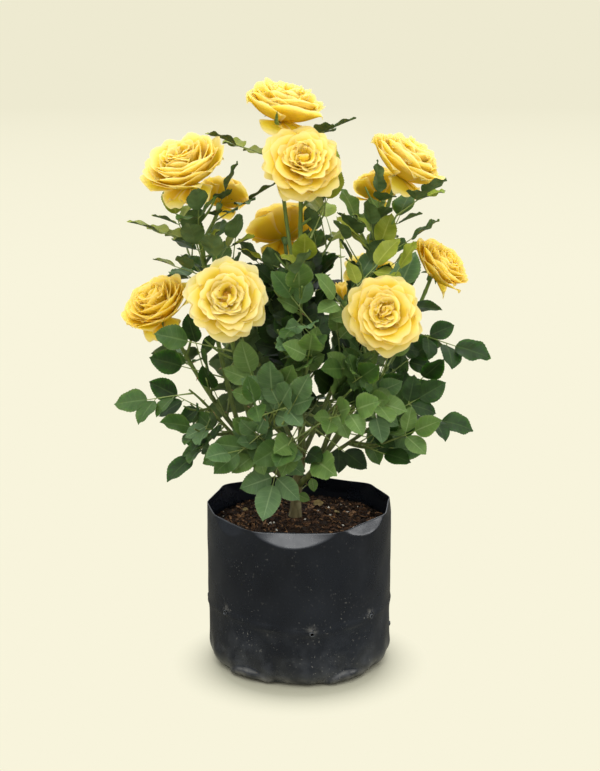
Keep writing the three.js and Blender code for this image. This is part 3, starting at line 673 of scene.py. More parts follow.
class Nodes:
    """A tree of nodes, with short ways to add the ones that the looks here use."""

    def __init__(self, tree):
        self.tree = tree

    def node(self, kind, inputs=(), **settings):
        made = self.tree.nodes.new("ShaderNode" + kind)
        for key, value in settings.items():
            setattr(made, key, value)
        for key, value in dict(inputs).items():
            if isinstance(value, bpy.types.NodeSocket):
                self.tree.links.new(value, made.inputs[key])
            else:
                made.inputs[key].default_value = value
        return made

    def place(self):
        return self.node("TexCoord").outputs["Object"]

    def axis(self, vector, name):
        return self.node("SeparateXYZ", {"Vector": vector}).outputs[name]

    def height(self):
        return self.axis(self.place(), "Z")

    def distance(self, point):
        return self.node("VectorMath", {0: self.place(), 1: point}, operation="DISTANCE").outputs["Value"]

    def map(self, axis):
        """One coordinate of the pattern map."""
        return self.axis(self.node("UVMap", uv_map="grain").outputs["UV"], axis)

    def from_rib(self):
        """How far a place on the pattern map is from its middle line."""
        return self.math("ABSOLUTE", self.math("SUBTRACT", self.map("X"), 0.5))

    def noise(self, scale, detail=3.0, stretch=None, rough=0.5):
        where = self.place()
        if stretch:
            where = self.node("Mapping", {"Vector": where, "Scale": stretch}).outputs["Vector"]
        made = self.node("TexNoise", {"Vector": where, "Scale": scale, "Detail": detail, "Roughness": rough})
        return made.outputs["Fac"]

    def math(self, how, a, b=0.0):
        return self.node("Math", {0: a, 1: b}, operation=how).outputs[0]

    def times(self, a, b):
        return self.math("MULTIPLY", a, b)

    def span(self, value, low, high, to_low=0.0, to_high=1.0):
        inputs = {"Value": value, "From Min": low, "From Max": high, "To Min": to_low, "To Max": to_high}
        return self.node("MapRange", inputs).outputs["Result"]

    def mix(self, share, a, b):
        return self.node("Mix", {0: share, 6: a, 7: b}, data_type="RGBA").outputs[2]

    def fade(self, value, low, high, start, end):
        """A colour that runs from one to another as a value runs between two limits."""
        return self.mix(self.span(value, low, high), srgb(start), srgb(end))


class Look(Nodes):
    """A material with one main shader."""

    def __init__(self, name, roughness=0.5, **sockets):
        self.material = bpy.data.materials.new(name)
        self.material.use_nodes = True
        super().__init__(self.material.node_tree)
        self.shader = self.tree.nodes["Principled BSDF"]
        self.shader.inputs["Roughness"].default_value = roughness
        for socket, value in sockets.items():
            self.shader.inputs[socket.replace("_", " ")].default_value = value

    def bump(self, height, strength, distance):
        made = self.node("Bump", {"Height": height, "Strength": strength, "Distance": distance})
        self.paint("Normal", made.outputs["Normal"])

    def blend(self, share, other):
        """Puts a share of another shader in the place of the main one."""
        both = self.node("MixShader", {0: share, 1: self.shader.outputs[0], 2: other.outputs[0]})
        self.tree.links.new(both.outputs[0], self.tree.nodes["Material Output"].inputs["Surface"])

    def glow(self, colour, share):
        """Lets light through a thin petal or leaf from behind."""
        self.blend(share, self.node("BsdfTranslucent", {"Color": colour}))

    def paint(self, socket, value):
        self.tree.links.new(value, self.shader.inputs[socket])


# Greys of the film: clean in its darker and lighter clouds, smeared with a painted sheen, with wear at the
# foot and a painted highlight on its folds there, and dusty
FILM_DARK, FILM_LIGHT, FILM_SMEAR_AND_SHEEN, FILM_WORN_AND_HIGHLIGHT, FILM_DUSTY = "101319", "1a1e25", "5e6167", "85827a", "8d8a83"
# The patch of dust above each hole: how far above, its radius in metres, and how much it shows
HALO_ABOVE, HALO_RADIUS, HALO_SHARE = 3.5, 0.008, 0.32


def film_look():
    """Black polythene with a soft shine, fine creases, pale dust that lies thickest low down, smears that
    carry a painted sheen, and wear with a painted highlight on the upward faces of the folds at the foot.
    """
    look = Look("film", roughness=0.35, Specular_IOR_Level=0.52)
    height = look.height()
    upward = look.axis(look.node("NewGeometry").outputs["Normal"], "Z")
    ledge = look.times(look.span(upward, 0.2, 0.6), look.span(height, 0.03, 0.018))
    base = look.fade(look.noise(9, 4), 0.35, 0.7, FILM_DARK, FILM_LIGHT)
    # Smudges low on the wall, whose cool grey also serves as a painted sheen
    smear_and_sheen = look.times(look.span(height, 0.075, 0.01), look.span(look.noise(60, 6), 0.45, 0.8, 0, 0.28))
    base = look.mix(smear_and_sheen, base, srgb(FILM_SMEAR_AND_SHEEN))
    foot = look.times(look.span(height, 0.013, 0.005), look.span(look.noise(90, 5), 0.4, 0.7, 0, 0.4))
    # Painted highlight, with some wear: pale film on the upward faces of the folds at the foot, where light
    # from above falls
    ledge_highlight_and_wear = look.times(ledge, look.span(look.noise(130, 5, rough=0.65), 0.36, 0.66, 0.1, 0.55))
    base = look.mix(look.math("MAXIMUM", foot, ledge_highlight_and_wear), base, srgb(FILM_WORN_AND_HIGHLIGHT))
    specks = look.times(look.span(look.noise(420, 2), 0.66, 0.74), look.span(height, 0.16, 0.06, 0.35, 1))
    dust = look.times(specks, look.span(look.noise(26, 3), 0.45, 0.7, 0.06, 0.6))
    base = look.mix(dust, base, srgb(FILM_DUSTY))
    for at, hole_height in HOLES:
        _, middle = hole_frame(at, hole_height + HALO_ABOVE)
        near = look.span(look.distance(tuple(middle * MM)), HALO_RADIUS, 0.001, 0, HALO_SHARE)
        halo = look.times(near, look.span(look.noise(240, 4), 0.42, 0.66))
        base = look.mix(halo, base, srgb(FILM_DUSTY))
    look.paint("Base Color", base)
    sheen = look.span(look.noise(34, 4), 0.3, 0.75, 0.22, 0.38)
    look.paint("Roughness", look.math("ADD", sheen, look.times(ledge, 0.3)))
    wrinkle = look.math("ADD", look.noise(38, 3, (1, 1, 0.35)), look.times(look.noise(240, 2), 0.12))
    look.bump(wrinkle, 0.22, 0.002)
    return look.material


def soil_look(name, dark, light):
    look = Look(name, roughness=0.95, Specular_IOR_Level=0.2)
    look.paint("Base Color", look.fade(look.noise(420, 4), 0.3, 0.72, dark, light))
    look.bump(look.noise(900, 4), 0.8, 0.001)
    return look.material


def plain_look(name, dark, light, scale, roughness):
    look = Look(name, roughness=roughness)
    look.paint("Base Color", look.fade(look.noise(scale, 3), 0.3, 0.7, dark, light))
    return look.material


def bark_look():
    """Grey-brown bark with long splits and pale patches, greener towards the canes."""
    look = Look("bark", roughness=0.85, Specular_IOR_Level=0.3)
    base = look.fade(look.noise(150, 5, (1, 1, 0.22), 0.6), 0.3, 0.7, "352e1c", "746b48")
    base = look.mix(look.span(look.noise(70, 3), 0.5, 0.66, 0, 0.5), base, srgb("97916a"))
    base = look.mix(look.span(look.height(), 0.175, 0.215, 0, 0.6), base, srgb("565a2b"))
    look.paint("Base Color", base)
    look.bump(look.noise(420, 5, (1, 1, 0.25), 0.6), 0.7, 0.0012)
    return look.material


def cane_look():
    """Brown and green low on the plant, and clear green towards the blooms."""
    look = Look("cane", roughness=0.55, Specular_IOR_Level=0.4)
    streak = look.noise(220, 4, (1, 1, 0.15))
    low = look.fade(streak, 0.3, 0.7, "3b3f1c", "5d6630")
    high = look.fade(streak, 0.3, 0.7, "556b2c", "748a41")
    look.paint("Base Color", look.mix(look.span(look.height(), 0.21, 0.4), low, high))
    look.bump(streak, 0.3, 0.0008)
    return look.material


# The share of the light of a leaf and of a petal that comes through from behind
LEAF_THROUGH, PETAL_THROUGH = 0.12, 0.57
LEAF_VEINS = 7  # side veins on each side of the midrib


def leaf_look(name, dark, light, vein):
    """A leaf's upper side, with slightly paler veins that follow the pattern map."""
    look = Look(
        name, roughness=0.5, Specular_IOR_Level=0.2,
        Subsurface_Weight=0.1, Subsurface_Radius=(0.5, 1.0, 0.2), Subsurface_Scale=0.002,
    )
    wave = look.math("SINE", look.times(look.map("Y"), math.tau * LEAF_VEINS))
    side_veins = look.span(wave, 0.8, 1.0, 0, 0.12)
    rib = look.span(look.from_rib(), 0.045, 0.02, 0, 0.4)
    mottled = look.fade(look.noise(70, 3), 0.3, 0.7, dark, light)
    colour = look.mix(look.math("MAXIMUM", side_veins, rib), mottled, srgb(vein))
    look.paint("Base Color", colour)
    look.bump(wave, 0.2, 0.0005)
    look.glow(colour, LEAF_THROUGH)
    return look.material


def petal_look(name, base, middle, rim):
    """Deep at the petal's root, clear in its middle and pale at its rim, with faint streaks."""
    look = Look(
        name, roughness=0.6, Specular_IOR_Level=0.12,
        Subsurface_Weight=0.5, Subsurface_Radius=(1.0, 0.9, 0.45), Subsurface_Scale=0.005,
    )
    out = look.map("Y")
    low = look.fade(out, 0.3, 0.8, base, middle)
    edge = look.math("MAXIMUM", look.span(out, 0.72, 1.0), look.span(look.from_rib(), 0.36, 0.5, 0, 0.8))
    streak = look.span(look.noise(260, 2), 0.35, 0.7, 0, 0.08)
    colour = look.mix(streak, look.mix(edge, low, srgb(rim)), srgb(middle))
    look.paint("Base Color", colour)
    look.glow(colour, PETAL_THROUGH)
    return look.material


# Leaves
LEAF_ROWS = 24  # of points along a leaflet, every second one a tooth
TOOTH = 0.05  # how far a tooth stands out, as a share of the half width
LEAFLET_STALK = 0.09  # the bare stalk of a leaflet, as a share of its length
VEIN_SLANT = 0.17  # how far the side veins run forward, as a share of the length
LEAF_BASE, LEAF_TIP = 0.68, 0.86  # how full the outline is at its base and towards its point
LEAF_POINT = 1.03  # where the tip lies, as a share of the length
LEAF_COLUMNS = np.array([-1, -0.52, -0.045, 0.045, 0.52, 1.0])  # two rims, two blades and the rib
LEVEL_ABOVE = 400.0  # leaves higher than this lie flatter
QUILT = 0.011  # how far the blade swells between its veins, as a share of the length
LEAF_SKIN, RIB_SKIN = 0.35, 0.5  # how thick the blade is, and how much thicker its rib


def leaf_outline(q):
    """Half of a leaflet's width at a share of its length, as a share of its greatest half width."""
    peak = LEAF_BASE / (LEAF_BASE + LEAF_TIP)
    return (q / peak) ** LEAF_BASE * ((1 - q) / (1 - peak)) ** LEAF_TIP


def leaf_template():
    """The form that all leaflets share, at each point of a grid.

    q is the share along and u the place across from -1 to 1. x is how far along the point lies, half
    the half width there, and quilt the swelling between the veins.
    """
    q = (np.arange(LEAF_ROWS) + 1.0) / (LEAF_ROWS + 1)
    grid_q, grid_u = np.meshgrid(q, LEAF_COLUMNS, indexing="ij")
    tooth = (np.arange(LEAF_ROWS) % 2)[:, None] * (np.abs(LEAF_COLUMNS) > 0.99)
    slant = VEIN_SLANT * np.sin(math.pi * grid_q)
    x = grid_q + slant * np.abs(grid_u) ** 1.2 + tooth * 0.3 / LEAF_ROWS
    half = leaf_outline(grid_q + slant) * (1 + TOOTH * tooth * np.sin(math.pi * grid_q) ** 0.3)
    vein = np.sin(math.tau * LEAF_VEINS * grid_q)
    quilt = -vein * np.abs(grid_u) * (1 - np.abs(grid_u)) * 4
    return {"q": grid_q, "u": grid_u, "x": x, "half": half, "quilt": quilt}


TEMPLATE = leaf_template()


def leaf_blade(leaflet, draw):
    """The upper points, the lower inner points, the root and the tip of one leaflet, in place."""
    q, u, x, half, quilt = (TEMPLATE[k] for k in ("q", "u", "x", "half", "quilt"))
    length = leaflet.length
    fold = 0.05 + 0.11 * draw.random()
    droop = 0.1 + 0.45 * draw.random()
    roll = draw.uniform(-0.2, 0.2)
    high = float(smooth((leaflet.middle[2] - LEVEL_ABOVE) / 60))
    wave, phase = 0.012 + 0.03 * draw.random() ** 2 + 0.013 * high, draw.uniform(0, ANY_WAY)
    width = length * LEAF["width"] * 0.5 * draw.uniform(0.86, 1.06)
    at_rib = np.abs(u) < 0.1
    y = u * half * width
    z = np.abs(y) * fold * 1.4 + quilt * QUILT * length
    z = z + length * wave * np.abs(u) ** 2 * np.sin(q * 14 + phase + 2.2 * (u > 0))
    z = z + y * np.sin(roll * q * 2)
    z = z - QUILT * length * at_rib * np.sin(math.pi * q)
    lift = droop * 0.5

    def bent(share, above):
        """Where a place along the blade comes to lie when the blade droops in an arc."""
        out = length * np.sin(droop * share) / droop
        rise = above - length * (1 - np.cos(droop * share)) / droop
        return out * math.cos(lift) - rise * math.sin(lift), out * math.sin(lift) + rise * math.cos(lift)

    along_x, along_z = bent(x, z)
    top = np.stack([along_x, y, along_z], -1)
    low = top[:, 1:-1].copy()
    low[..., 2] -= LEAF_SKIN + RIB_SKIN * at_rib[:, 1:-1]
    tip_x, tip_z = bent(LEAF_POINT, 0)
    local = np.vstack([top.reshape(-1, 3), low.reshape(-1, 3), [0, 0, -0.15], [tip_x, 0, tip_z]])
    local[:, 0] = local[:, 0] * (1 - 0.7 * LEAFLET_STALK) + LEAFLET_STALK * length
    up = square_to(leaflet.up + UP * high, leaflet.dir)
    basis = np.stack([leaflet.dir, np.cross(up, leaflet.dir), up])
    return leaflet.root + local @ basis


def leaf_topology():
    """Faces of a leaflet: blade and rib above, the underside, and the fans that close both ends."""
    m, n = LEAF_ROWS, len(LEAF_COLUMNS)
    inner = n - 2
    root = (n + inner) * m
    tip = root + 1
    quads = grid_faces(m, n).reshape(m - 1, n - 1, 4)
    blade = quads[:, [0, 1, 3, 4]].reshape(-1, 4)[:, ::-1]
    rib = quads[:, 2][:, ::-1]
    fans = {"blade": [], "rib": []}
    for start, pole, turn in ((0, root, 1), (n * (m - 1), tip, -1)):
        for c in range(n - 1):
            fans["rib" if c == 2 else "blade"].append([start + c, start + c + 1, pole][::turn])
    grid = np.arange(m * n).reshape(m, n)
    grid[:, 1:-1] = n * m + np.arange(inner * m).reshape(m, inner)
    a, b, c, d = corners_of(grid)
    under = np.stack([b, c, d, a], -1).reshape(-1, 4)
    under_fans = [[grid[0, c + 1], grid[0, c], root] for c in range(n - 1)]
    under_fans += [[grid[-1, c], grid[-1, c + 1], tip] for c in range(n - 1)]
    return {
        "blade": [blade, np.array(fans["blade"])], "rib": [rib, np.array(fans["rib"])],
        "under": [under, np.array(under_fans)],
    }


TOPOLOGY = leaf_topology()


def leaf_maps():
    """The pattern map of a leaflet's points: across and along."""
    q, u = TEMPLATE["q"], TEMPLATE["u"]
    top = np.stack([u / 2 + 0.5, q], -1)
    low = top[:, 1:-1]
    return np.vstack([top.reshape(-1, 2), low.reshape(-1, 2), [0.5, 0], [0.5, 1]])


LEAF_MAP = leaf_maps()
# Tints of the upper side: the darker and lighter green of its mottling, and its veins
LEAF_TINTS = {
    # inner: near-black greens for the sprays deep inside the crown, as painted shade
    "inner": ("14210a", "203110", "3a4d22"),
    "deep": ("1c2f0f", "2a4217", "485f30"),
    "mid": ("344e20", "445e29", "677f48"),
    "fresh": ("4f6932", "5f783b", "8a9f64"),
    "blue": ("49633c", "587247", "8a9f70"),
    "olive": ("6d761f", "848c2b", "a6ac52"),
    "young": ("708228", "87963a", "adb65c"),
}
TINT_NAMES = list(LEAF_TINTS)


def tint_of(leaf, draw):
    """The tint of a whole spray: darkest inside as painted shade, yellow-green at the top's edges, and paler
    at the front as painted light.
    """
    p = leaf["joint"]
    pick = draw.random()
    out = math.hypot(p[0], p[1])
    # Painted shade: sprays deep inside the crown take the near-black inner tint or the deep one
    if p[2] < 430 and out < (74 if p[2] < 345 else 56):
        return "inner" if pick < 0.65 else "deep"
    if p[2] > 430 and pick < 0.7:
        return "young" if p[2] > 470 and pick < 0.2 else "olive"
    # Painted light: sprays at the front, where the key lamp falls, more often take the paler fresh and blue
    # tints
    if p[1] < -45 and pick < 0.5:
        return "blue" if pick < 0.2 else "fresh"
    if pick < 0.55:
        return "deep"
    if pick < 0.85:
        return "mid"
    return "fresh" if pick < 0.95 else "blue"


def add_leaflet(build, sheet, leaflet, kind, under, draw):
    first = build.put(leaf_blade(leaflet, draw))
    above, below = sheet.cell(LEAF_MAP), sheet.cell(LEAF_MAP)
    for side, number, cell in (("blade", kind, above), ("rib", kind, above), ("under", under, below)):
        for faces in TOPOLOGY[side]:
            build.faces(first, faces, number, LEAF_MAP, cell)


def petiole(build, leaf, draw):
    """A leaf's stalk from its stem through its leaflets' joints, with a small swelling at its foot."""
    base, joint = leaf["base"], leaf["joint"]
    t = np.linspace(0, 1, 6)[:, None]
    sag = np.sin(math.pi * t) * leaf["leaflets"][0].up * draw.uniform(-0.6, 0.8)
    path = base + (joint - base) * t + sag
    tube(build, path, [1.25, 0.85, 0.7, 0.65, 0.6, 0.5], 5, kind=1)
    for leaflet in leaf["leaflets"]:
        stalk = leaflet.dir * leaflet.length * (LEAFLET_STALK + 0.03)
        tube(build, leaflet.root + stalk * np.array([0, 0.5, 1])[:, None], [0.55, 0.5, 0.45], 4, kind=1)


def leaves_piece(mass, draw):
    count = sum(len(leaf["leaflets"]) for leaf in mass.leaves)
    build, sheet = Build(), Sheet(2 * count)
    for leaf in mass.leaves:
        kind = TINT_NAMES.index(tint_of(leaf, draw))
        for leaflet in leaf["leaflets"]:
            add_leaflet(build, sheet, leaflet, kind, len(TINT_NAMES), draw)
    looks = [f"leaf_{tint}" for tint in TINT_NAMES] + ["leaf_under_painted_shade"]
    piece = build.make(f"leaves_{mass.name}", looks, sheet=True)
    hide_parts(f"foliage_{mass.name}")


# Stems
def thorn(build, base, out, down, length):
    """A hooked prickle, broad along its stem and pointed."""
    shares = np.array([0, 0.3, 0.65, 1.0])
    along_stem = np.cross(out, np.cross(down, out))
    path = base + out * (shares * length)[:, None] + along_stem * (0.35 * length * shares**2)[:, None]
    tube(build, path, [0.2 * length, 0.13 * length, 0.07 * length, 0.02 * length], 6, kind=2)


THORNY = (185, 470)  # the heights between which the stems carry thorns


def add_thorns(build, path, radius, draw, step):
    long = path_length(path)
    azimuth, at = draw.uniform(0, ANY_WAY), step * 0.6
    while at < long - 12:
        point, way = along(path, at / long)
        azimuth += TURN
        at += step * draw.uniform(0.7, 1.4)
        if THORNY[0] < point[2] < THORNY[1]:
            out = unit(sideways(way, azimuth, math.pi / 2))
            thorn(build, point + out * radius * 0.7, out, -way, draw.uniform(4.0, 6.0))


def stem_relief(path, sides, draw, depth):
    """Swellings at the leaf joints and faint long ridges."""
    at = np.linspace(0, 1, len(path))[:, None] * path_length(path)
    turn = np.linspace(0, math.tau, sides, endpoint=False)[None]
    phase = draw.uniform(0, ANY_WAY)
    knots = np.exp(-(((at + 7 * phase) % 26 - 13) ** 2) / 5.0) * 0.35
    return knots + depth * np.sin(3 * turn + at * 0.05 + phase) + depth * np.sin(5 * turn - at * 0.09)


def cane_piece(mass, limb_path, limb_radius, draw):
    """A cane from its parent to its first bloom or its tip, as one tapering stem with thorns."""
    stem_radius = STEM_TIP_RADIUS if mass.blooms else BARE_TIP_RADIUS
    whole = np.vstack([limb_path, mass.paths[0][1:]])
    count = max(int(path_length(whole) / 3.0), 8)
    path = resample(whole, count)
    share = np.linspace(0, 1, count)
    radii = limb_radius + (stem_radius - limb_radius) * share**0.8
    build = Build()
    tube(build, path, radii, 12, kind=0, relief=stem_relief(path, 12, draw, 0.07))
    add_thorns(build, path, stem_radius, draw, 21)
    piece = build.make(f"cane_{mass.name}", ["cane", "petiole", "thorn"])
    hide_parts(f"bough_{mass.name}")


def twigs_piece(mass, draw):
    """The stalks of a mass: bloom twigs, leafy twigs, leaf stalks, and the calyx of each bloom."""
    build = Build()
    for i, path in enumerate(mass.paths[1:] + mass.fine_twigs):
        to_bloom = i + 1 < len(mass.blooms)
        start, end = (STEM_TIP_RADIUS + 0.4, STEM_TIP_RADIUS) if to_bloom else (1.7, 0.9)
        fine = resample(path, max(int(path_length(path) / 4), 6))
        tube(build, fine, np.linspace(start, end, len(fine)), 8, kind=0)
        if to_bloom:
            add_thorns(build, fine, end, draw, 24)
    for leaf in mass.leaves:
        petiole(build, leaf, draw)
    for bloom in mass.blooms:
        calyx(build, bloom, draw)
    piece = build.make(f"twigs_{mass.name}", ["cane", "petiole", "thorn", "sepal"])
    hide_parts(f"foliage_{mass.name}")


# A long sepal that lies up the outside of a bloom: the way it points, its lean from the bloom's axis
# at the root and at the tip, its length and its half width
LONG_SEPALS = {"top_back": ((-0.12, -1, 0), (1.8, 0.45), 55, 4.2)}
SEPALS, SEPAL_ROWS = 5, 8


def sepal(build, seat, up, out, leans, reach, broad):
    """A narrow pointed leaf from the hip, which leans from the bloom's axis by each lean in turn."""
    across = np.cross(up, out)
    lean = np.linspace(*leans, SEPAL_ROWS)
    share = np.linspace(0, 1, SEPAL_ROWS)
    step = reach / (SEPAL_ROWS - 1)
    run = np.concatenate([[0], np.cumsum(np.sin(lean[:-1]))]) * step
    rise = np.concatenate([[0], np.cumsum(np.cos(lean[:-1]))]) * step
    line = seat + out * (1.8 + run)[:, None] + up * rise[:, None]
    half = across * (broad * (1 - share) ** 0.8 * (0.35 + 1.3 * share) + 0.12)[:, None]
    normal = out * np.cos(lean)[:, None] - up * np.sin(lean)[:, None]
    points = np.stack([line - half, line + normal * 0.55, line + half, line - normal * 0.1], 1)
    first = build.put(points.reshape(-1, 3))
    build.faces(first, ring_faces(SEPAL_ROWS, 4), 3)
    last = 4 * (SEPAL_ROWS - 1)
    build.faces(first, [[3, 2, 1, 0], [last, last + 1, last + 2, last + 3]], 3)


def calyx(build, bloom, draw):
    """The hip below a bloom and its narrow sepals, bent back from a bloom and close round a bud."""
    hip, reach, root_lean, tip_lean = 3.2, 0.34 * bloom.radius + 7, 0.9, (1.5, 2.1)
    if bloom.name == "bud":
        hip, reach, root_lean, tip_lean = 2.6, 13, 0.25, (0.55, 0.85)
    path = bloom.seat + bloom.up * np.array([-9.0, -7.0, -4.5, -1.5, 1.5, 4.0])[:, None]
    tube(build, path, np.array([0.62, 0.8, 1.0, 1.1, 0.95, 0.7]) * hip, 12, kind=3)
    side = any_side(bloom.up)
    other = np.cross(bloom.up, side)
    for i in range(SEPALS):
        out = around(side, other, i * math.tau / SEPALS + draw.uniform(-0.2, 0.2))
        sepal(build, bloom.seat, bloom.up, out, (root_lean, draw.uniform(*tip_lean)), reach, 2.6)
    if bloom.name in LONG_SEPALS:
        way, leans, reach, broad = LONG_SEPALS[bloom.name]
        up = unit(vec(*PETALS_FACE[bloom.name]))
        sepal(build, bloom.seat, up, square_to(vec(*way), up), leans, reach, broad)


# Blooms
# Rings of petals from the outside in: how many, half width as a share of the bloom's radius, how
# freely a petal may stand, and then for an open bloom and for a cupped one the length as such a share
# and the lean from the bloom's axis in degrees at the root, in the cup and at the rim.
RINGS = [
    (7, 0.48, 1.0, (1.00, 82, 78, 112), (1.00, 88, 38, 46)),
    (7, 0.46, 1.3, (0.95, 71, 60, 98), (0.95, 77, 32, 42)),
    (6, 0.44, 1.7, (0.88, 58, 47, 82), (0.93, 66, 26, 38)),
    (6, 0.41, 2.1, (0.79, 46, 35, 67), (0.91, 54, 20, 33)),
    (5, 0.37, 2.6, (0.71, 35, 25, 54), (0.88, 40, 13, 28)),
    (4, 0.33, 3.0, (0.62, 25, 16, 40), (0.84, 26, 8, 18)),
]
# How much wider, how much less free and how many fewer in each ring a cupped bloom's petals are
CUP_WIDTH, CUP_FREEDOM, CUP_FEWER = 1.5, 0.4, 2
# The little petals in the heart, for an open bloom and a cupped one: how many, how high they stand and
# how long they are, then how far they spread and their half width
HEART = {"open": (18, 0.3, 0.33), "cupped": (12, 0.7, 0.36), "spread": 0.25, "width": 0.21}
# An outermost petal that hangs: length, half width, the three leans, and how freely it stands. The
# rings of the bud say the same, with how many petals first.
HANGING = (0.86, 0.46, 94, 106, 150, 1.0)
BUD_RINGS = [(5, 1.95, 0.85, 22, 6, 2, 0.4), (4, 1.8, 0.65, 14, 2, 0, 0.4)]
PETAL_ROWS, PETAL_COLUMNS = 12, 13
PETAL_SKIN = 0.3  # how thick a petal is
# A petal's outline: how wide its claw is, where it is full, how deep its notch is, the size of its
# lobes and of the ripples between them, and how far its corners fall back, as shares of its size
PETAL = {"claw": 0.2, "full": 0.68, "notch": 0.13, "lobe": 0.028, "ripple": 0.011, "corner": 0.4}
# Its relief, as shares of the bloom's radius: the ruffle at the rim, the curl of its sides, how far
# it stands from the bloom's axis, and the least radius to which it cups
RELIEF = {"ruffle": 0.034, "curl": 0.05, "hub": 0.05, "cup": 0.12}
OVERLAP = 0.085  # how far one side of a petal stands out over its neighbour, as a share of its width


def petal_points(ring, azimuth, scale, draw, side, other, up, seat, yaw=0.0):
    """The inner points of a petal, and the outer points that don't lie on its rim, as two grids."""
    length, width, root_lean, cup_lean, rim_lean, freedom = ring
    length, width = length * scale, width * scale
    v = np.linspace(0, 1, PETAL_ROWS)[:, None]
    u = np.linspace(-1, 1, PETAL_COLUMNS)[None]
    ones = np.ones_like(u)
    lean = np.radians(cup_lean + (root_lean - cup_lean) * (1 - v) ** 1.5 + (rim_lean - cup_lean) * v**3.2)
    step = length / (PETAL_ROWS - 1)
    mean = (lean[1:] + lean[:-1]) / 2
    run = np.concatenate([[[0.0]], np.cumsum(np.sin(mean), 0) * step])
    rise = np.concatenate([[[0.0]], np.cumsum(np.cos(mean), 0) * step])
    half = width * (PETAL["claw"] + (1 - PETAL["claw"]) * smooth(v / PETAL["full"])) * (1 - 0.1 * v**6)
    back = draw.uniform(0.0, PETAL["notch"]) * np.exp(-((u / 0.25) ** 2)) * v**8
    back = back + PETAL["lobe"] * v**4 * np.sin(4 * u + draw.uniform(0, ANY_WAY))
    back = back + PETAL["ripple"] * v**6 * np.sin(9 * u + draw.uniform(0, ANY_WAY))
    back = length * (back + PETAL["corner"] * np.abs(u) ** 2.8 * v**3)
    radius = np.maximum((run + 0.16 * scale) / np.maximum(np.cos(lean), 0.28), RELIEF["cup"] * scale)
    bend = np.clip(u * half / radius, -1.2, 1.2)
    waves, phase = draw.uniform(2.0, 3.8), draw.uniform(0, ANY_WAY)
    ruffle = RELIEF["ruffle"] * scale * freedom**0.5
    outward = RELIEF["curl"] * scale * np.abs(u) ** 4 * v**2 - radius * (1 - np.cos(bend))
    outward = outward + ruffle * v**2.4 * (0.3 + np.abs(u)) * np.sin(waves * u + phase)
    outward = outward + 0.16 * ruffle * v**5 * np.sin(3 * waves * u + 2 * phase)
    outward = outward + OVERLAP * u * half * (0.3 + v)
    radial = RELIEF["hub"] * scale + run - back * np.sin(lean) + outward * np.cos(lean)
    axial = rise - back * np.cos(lean) - outward * np.sin(lean)
    across = radius * np.sin(bend)
    out = around(side, other, azimuth)
    turned = (yaw * v * ones)[..., None]
    level = np.cross(up, out) * np.cos(turned) + out * np.sin(turned)
    top = seat + radial[..., None] * out + across[..., None] * level + axial[..., None] * up
    normal = (np.cos(lean) * ones)[..., None] * out - (np.sin(lean) * ones)[..., None] * up
    low = (top + normal * PETAL_SKIN)[1:-1, 1:-1]
    return top, low


def petal_topology():
    """Faces of the inner side of a petal, and of its outer side, which shares the rim."""
    m, n = PETAL_ROWS, PETAL_COLUMNS
    grid = np.arange(m * n).reshape(m, n)
    grid[1:-1, 1:-1] = n * m + np.arange((m - 2) * (n - 2)).reshape(m - 2, n - 2)
    a, b, c, d = corners_of(grid)
    return grid_faces(m, n), np.stack([a, d, c, b], -1).reshape(-1, 4)


PETAL_FACES = petal_topology()


def petal_map():
    v, u = np.meshgrid(np.linspace(0, 1, PETAL_ROWS), np.linspace(0, 1, PETAL_COLUMNS), indexing="ij")
    top = np.stack([u, v], -1)
    return np.vstack([top.reshape(-1, 2), top[1:-1, 1:-1].reshape(-1, 2)])


PETAL_MAP = petal_map()


def openness(bloom):
    """From 0 for a bloom that is still a cup to 1 for one that lies wide open."""
    return clamp((bloom.open - 0.6) / 0.35)


def between(cupped, wide_open, bloom):
    """A measure of a bloom, between that of a cupped one and that of an open one."""
    return cupped + (wide_open - cupped) * openness(bloom)


def bloom_rings(bloom):
    """The rings of a bloom: how many petals, and the form of each."""
    if bloom.name == "bud":
        return [(count, ring) for count, *ring in BUD_RINGS]
    rings = []
    for k, (count, width, freedom, wide_open, cupped) in enumerate(RINGS):
        length, *leans = [between(c, o, bloom) for o, c in zip(wide_open, cupped)]
        if k == 0:
            size = 1.0 / math.sin(math.radians(0.25 * leans[0] + 0.6 * leans[1] + 0.15 * leans[2]))
        width *= between(CUP_WIDTH, 1, bloom)
        freedom *= between(CUP_FREEDOM, 1, bloom)
        count = max(round(count - between(CUP_FEWER, 0, bloom)), 4)
        rings.append((count, (length * size, width * size, *leans, freedom)))
    return rings


def heart_petals(bloom, draw):
    """The small petals in the middle of a bloom, which stand every way: shape, turn and place."""
    if bloom.name == "bud":
        return []
    count, high, long = (between(c, o, bloom) for o, c in zip(HEART["open"], HEART["cupped"]))
    count = round(count)
    petals = []
    for i in range(count):
        angle, off = i * TURN, HEART["spread"] * math.sqrt((i + 0.5) / count)
        length, width = long * draw.uniform(0.8, 1.15), HEART["width"] * draw.uniform(0.8, 1.4)
        lean, fold = 60 * off + draw.uniform(-12, 16), draw.choice([-1, 1, 1])
        own = (length, width, lean, lean + 16 * fold, lean + fold * draw.uniform(55, 100), 2.2)
        petals.append((own, angle + draw.gauss(0, 0.7), (angle, off, high - 0.4 * off)))
    return petals


def ring_petals(bloom, draw):
    """The petals of the rings, each a little off the even one."""
    petals = []
    azimuth = draw.uniform(0, ANY_WAY)
    for count, (length, width, root_lean, cup_lean, rim_lean, freedom) in bloom_rings(bloom):
        azimuth += math.pi / count + draw.uniform(-0.15, 0.15)
        for i in range(count):
            tilt = draw.uniform(-4, 4) * freedom**0.7
            curl = between(7, 20, bloom) * draw.uniform(-1, 1)
            own = (
                length * draw.uniform(0.88, 1.03), width * draw.uniform(0.85, 1.2),
                root_lean + tilt, cup_lean + tilt, rim_lean + tilt + curl, freedom,
            )
            turn = azimuth + i * math.tau / count + draw.uniform(-0.22, 0.22) * freedom**0.5
            petals.append((own, turn, (0, 0, 0)))
    return petals


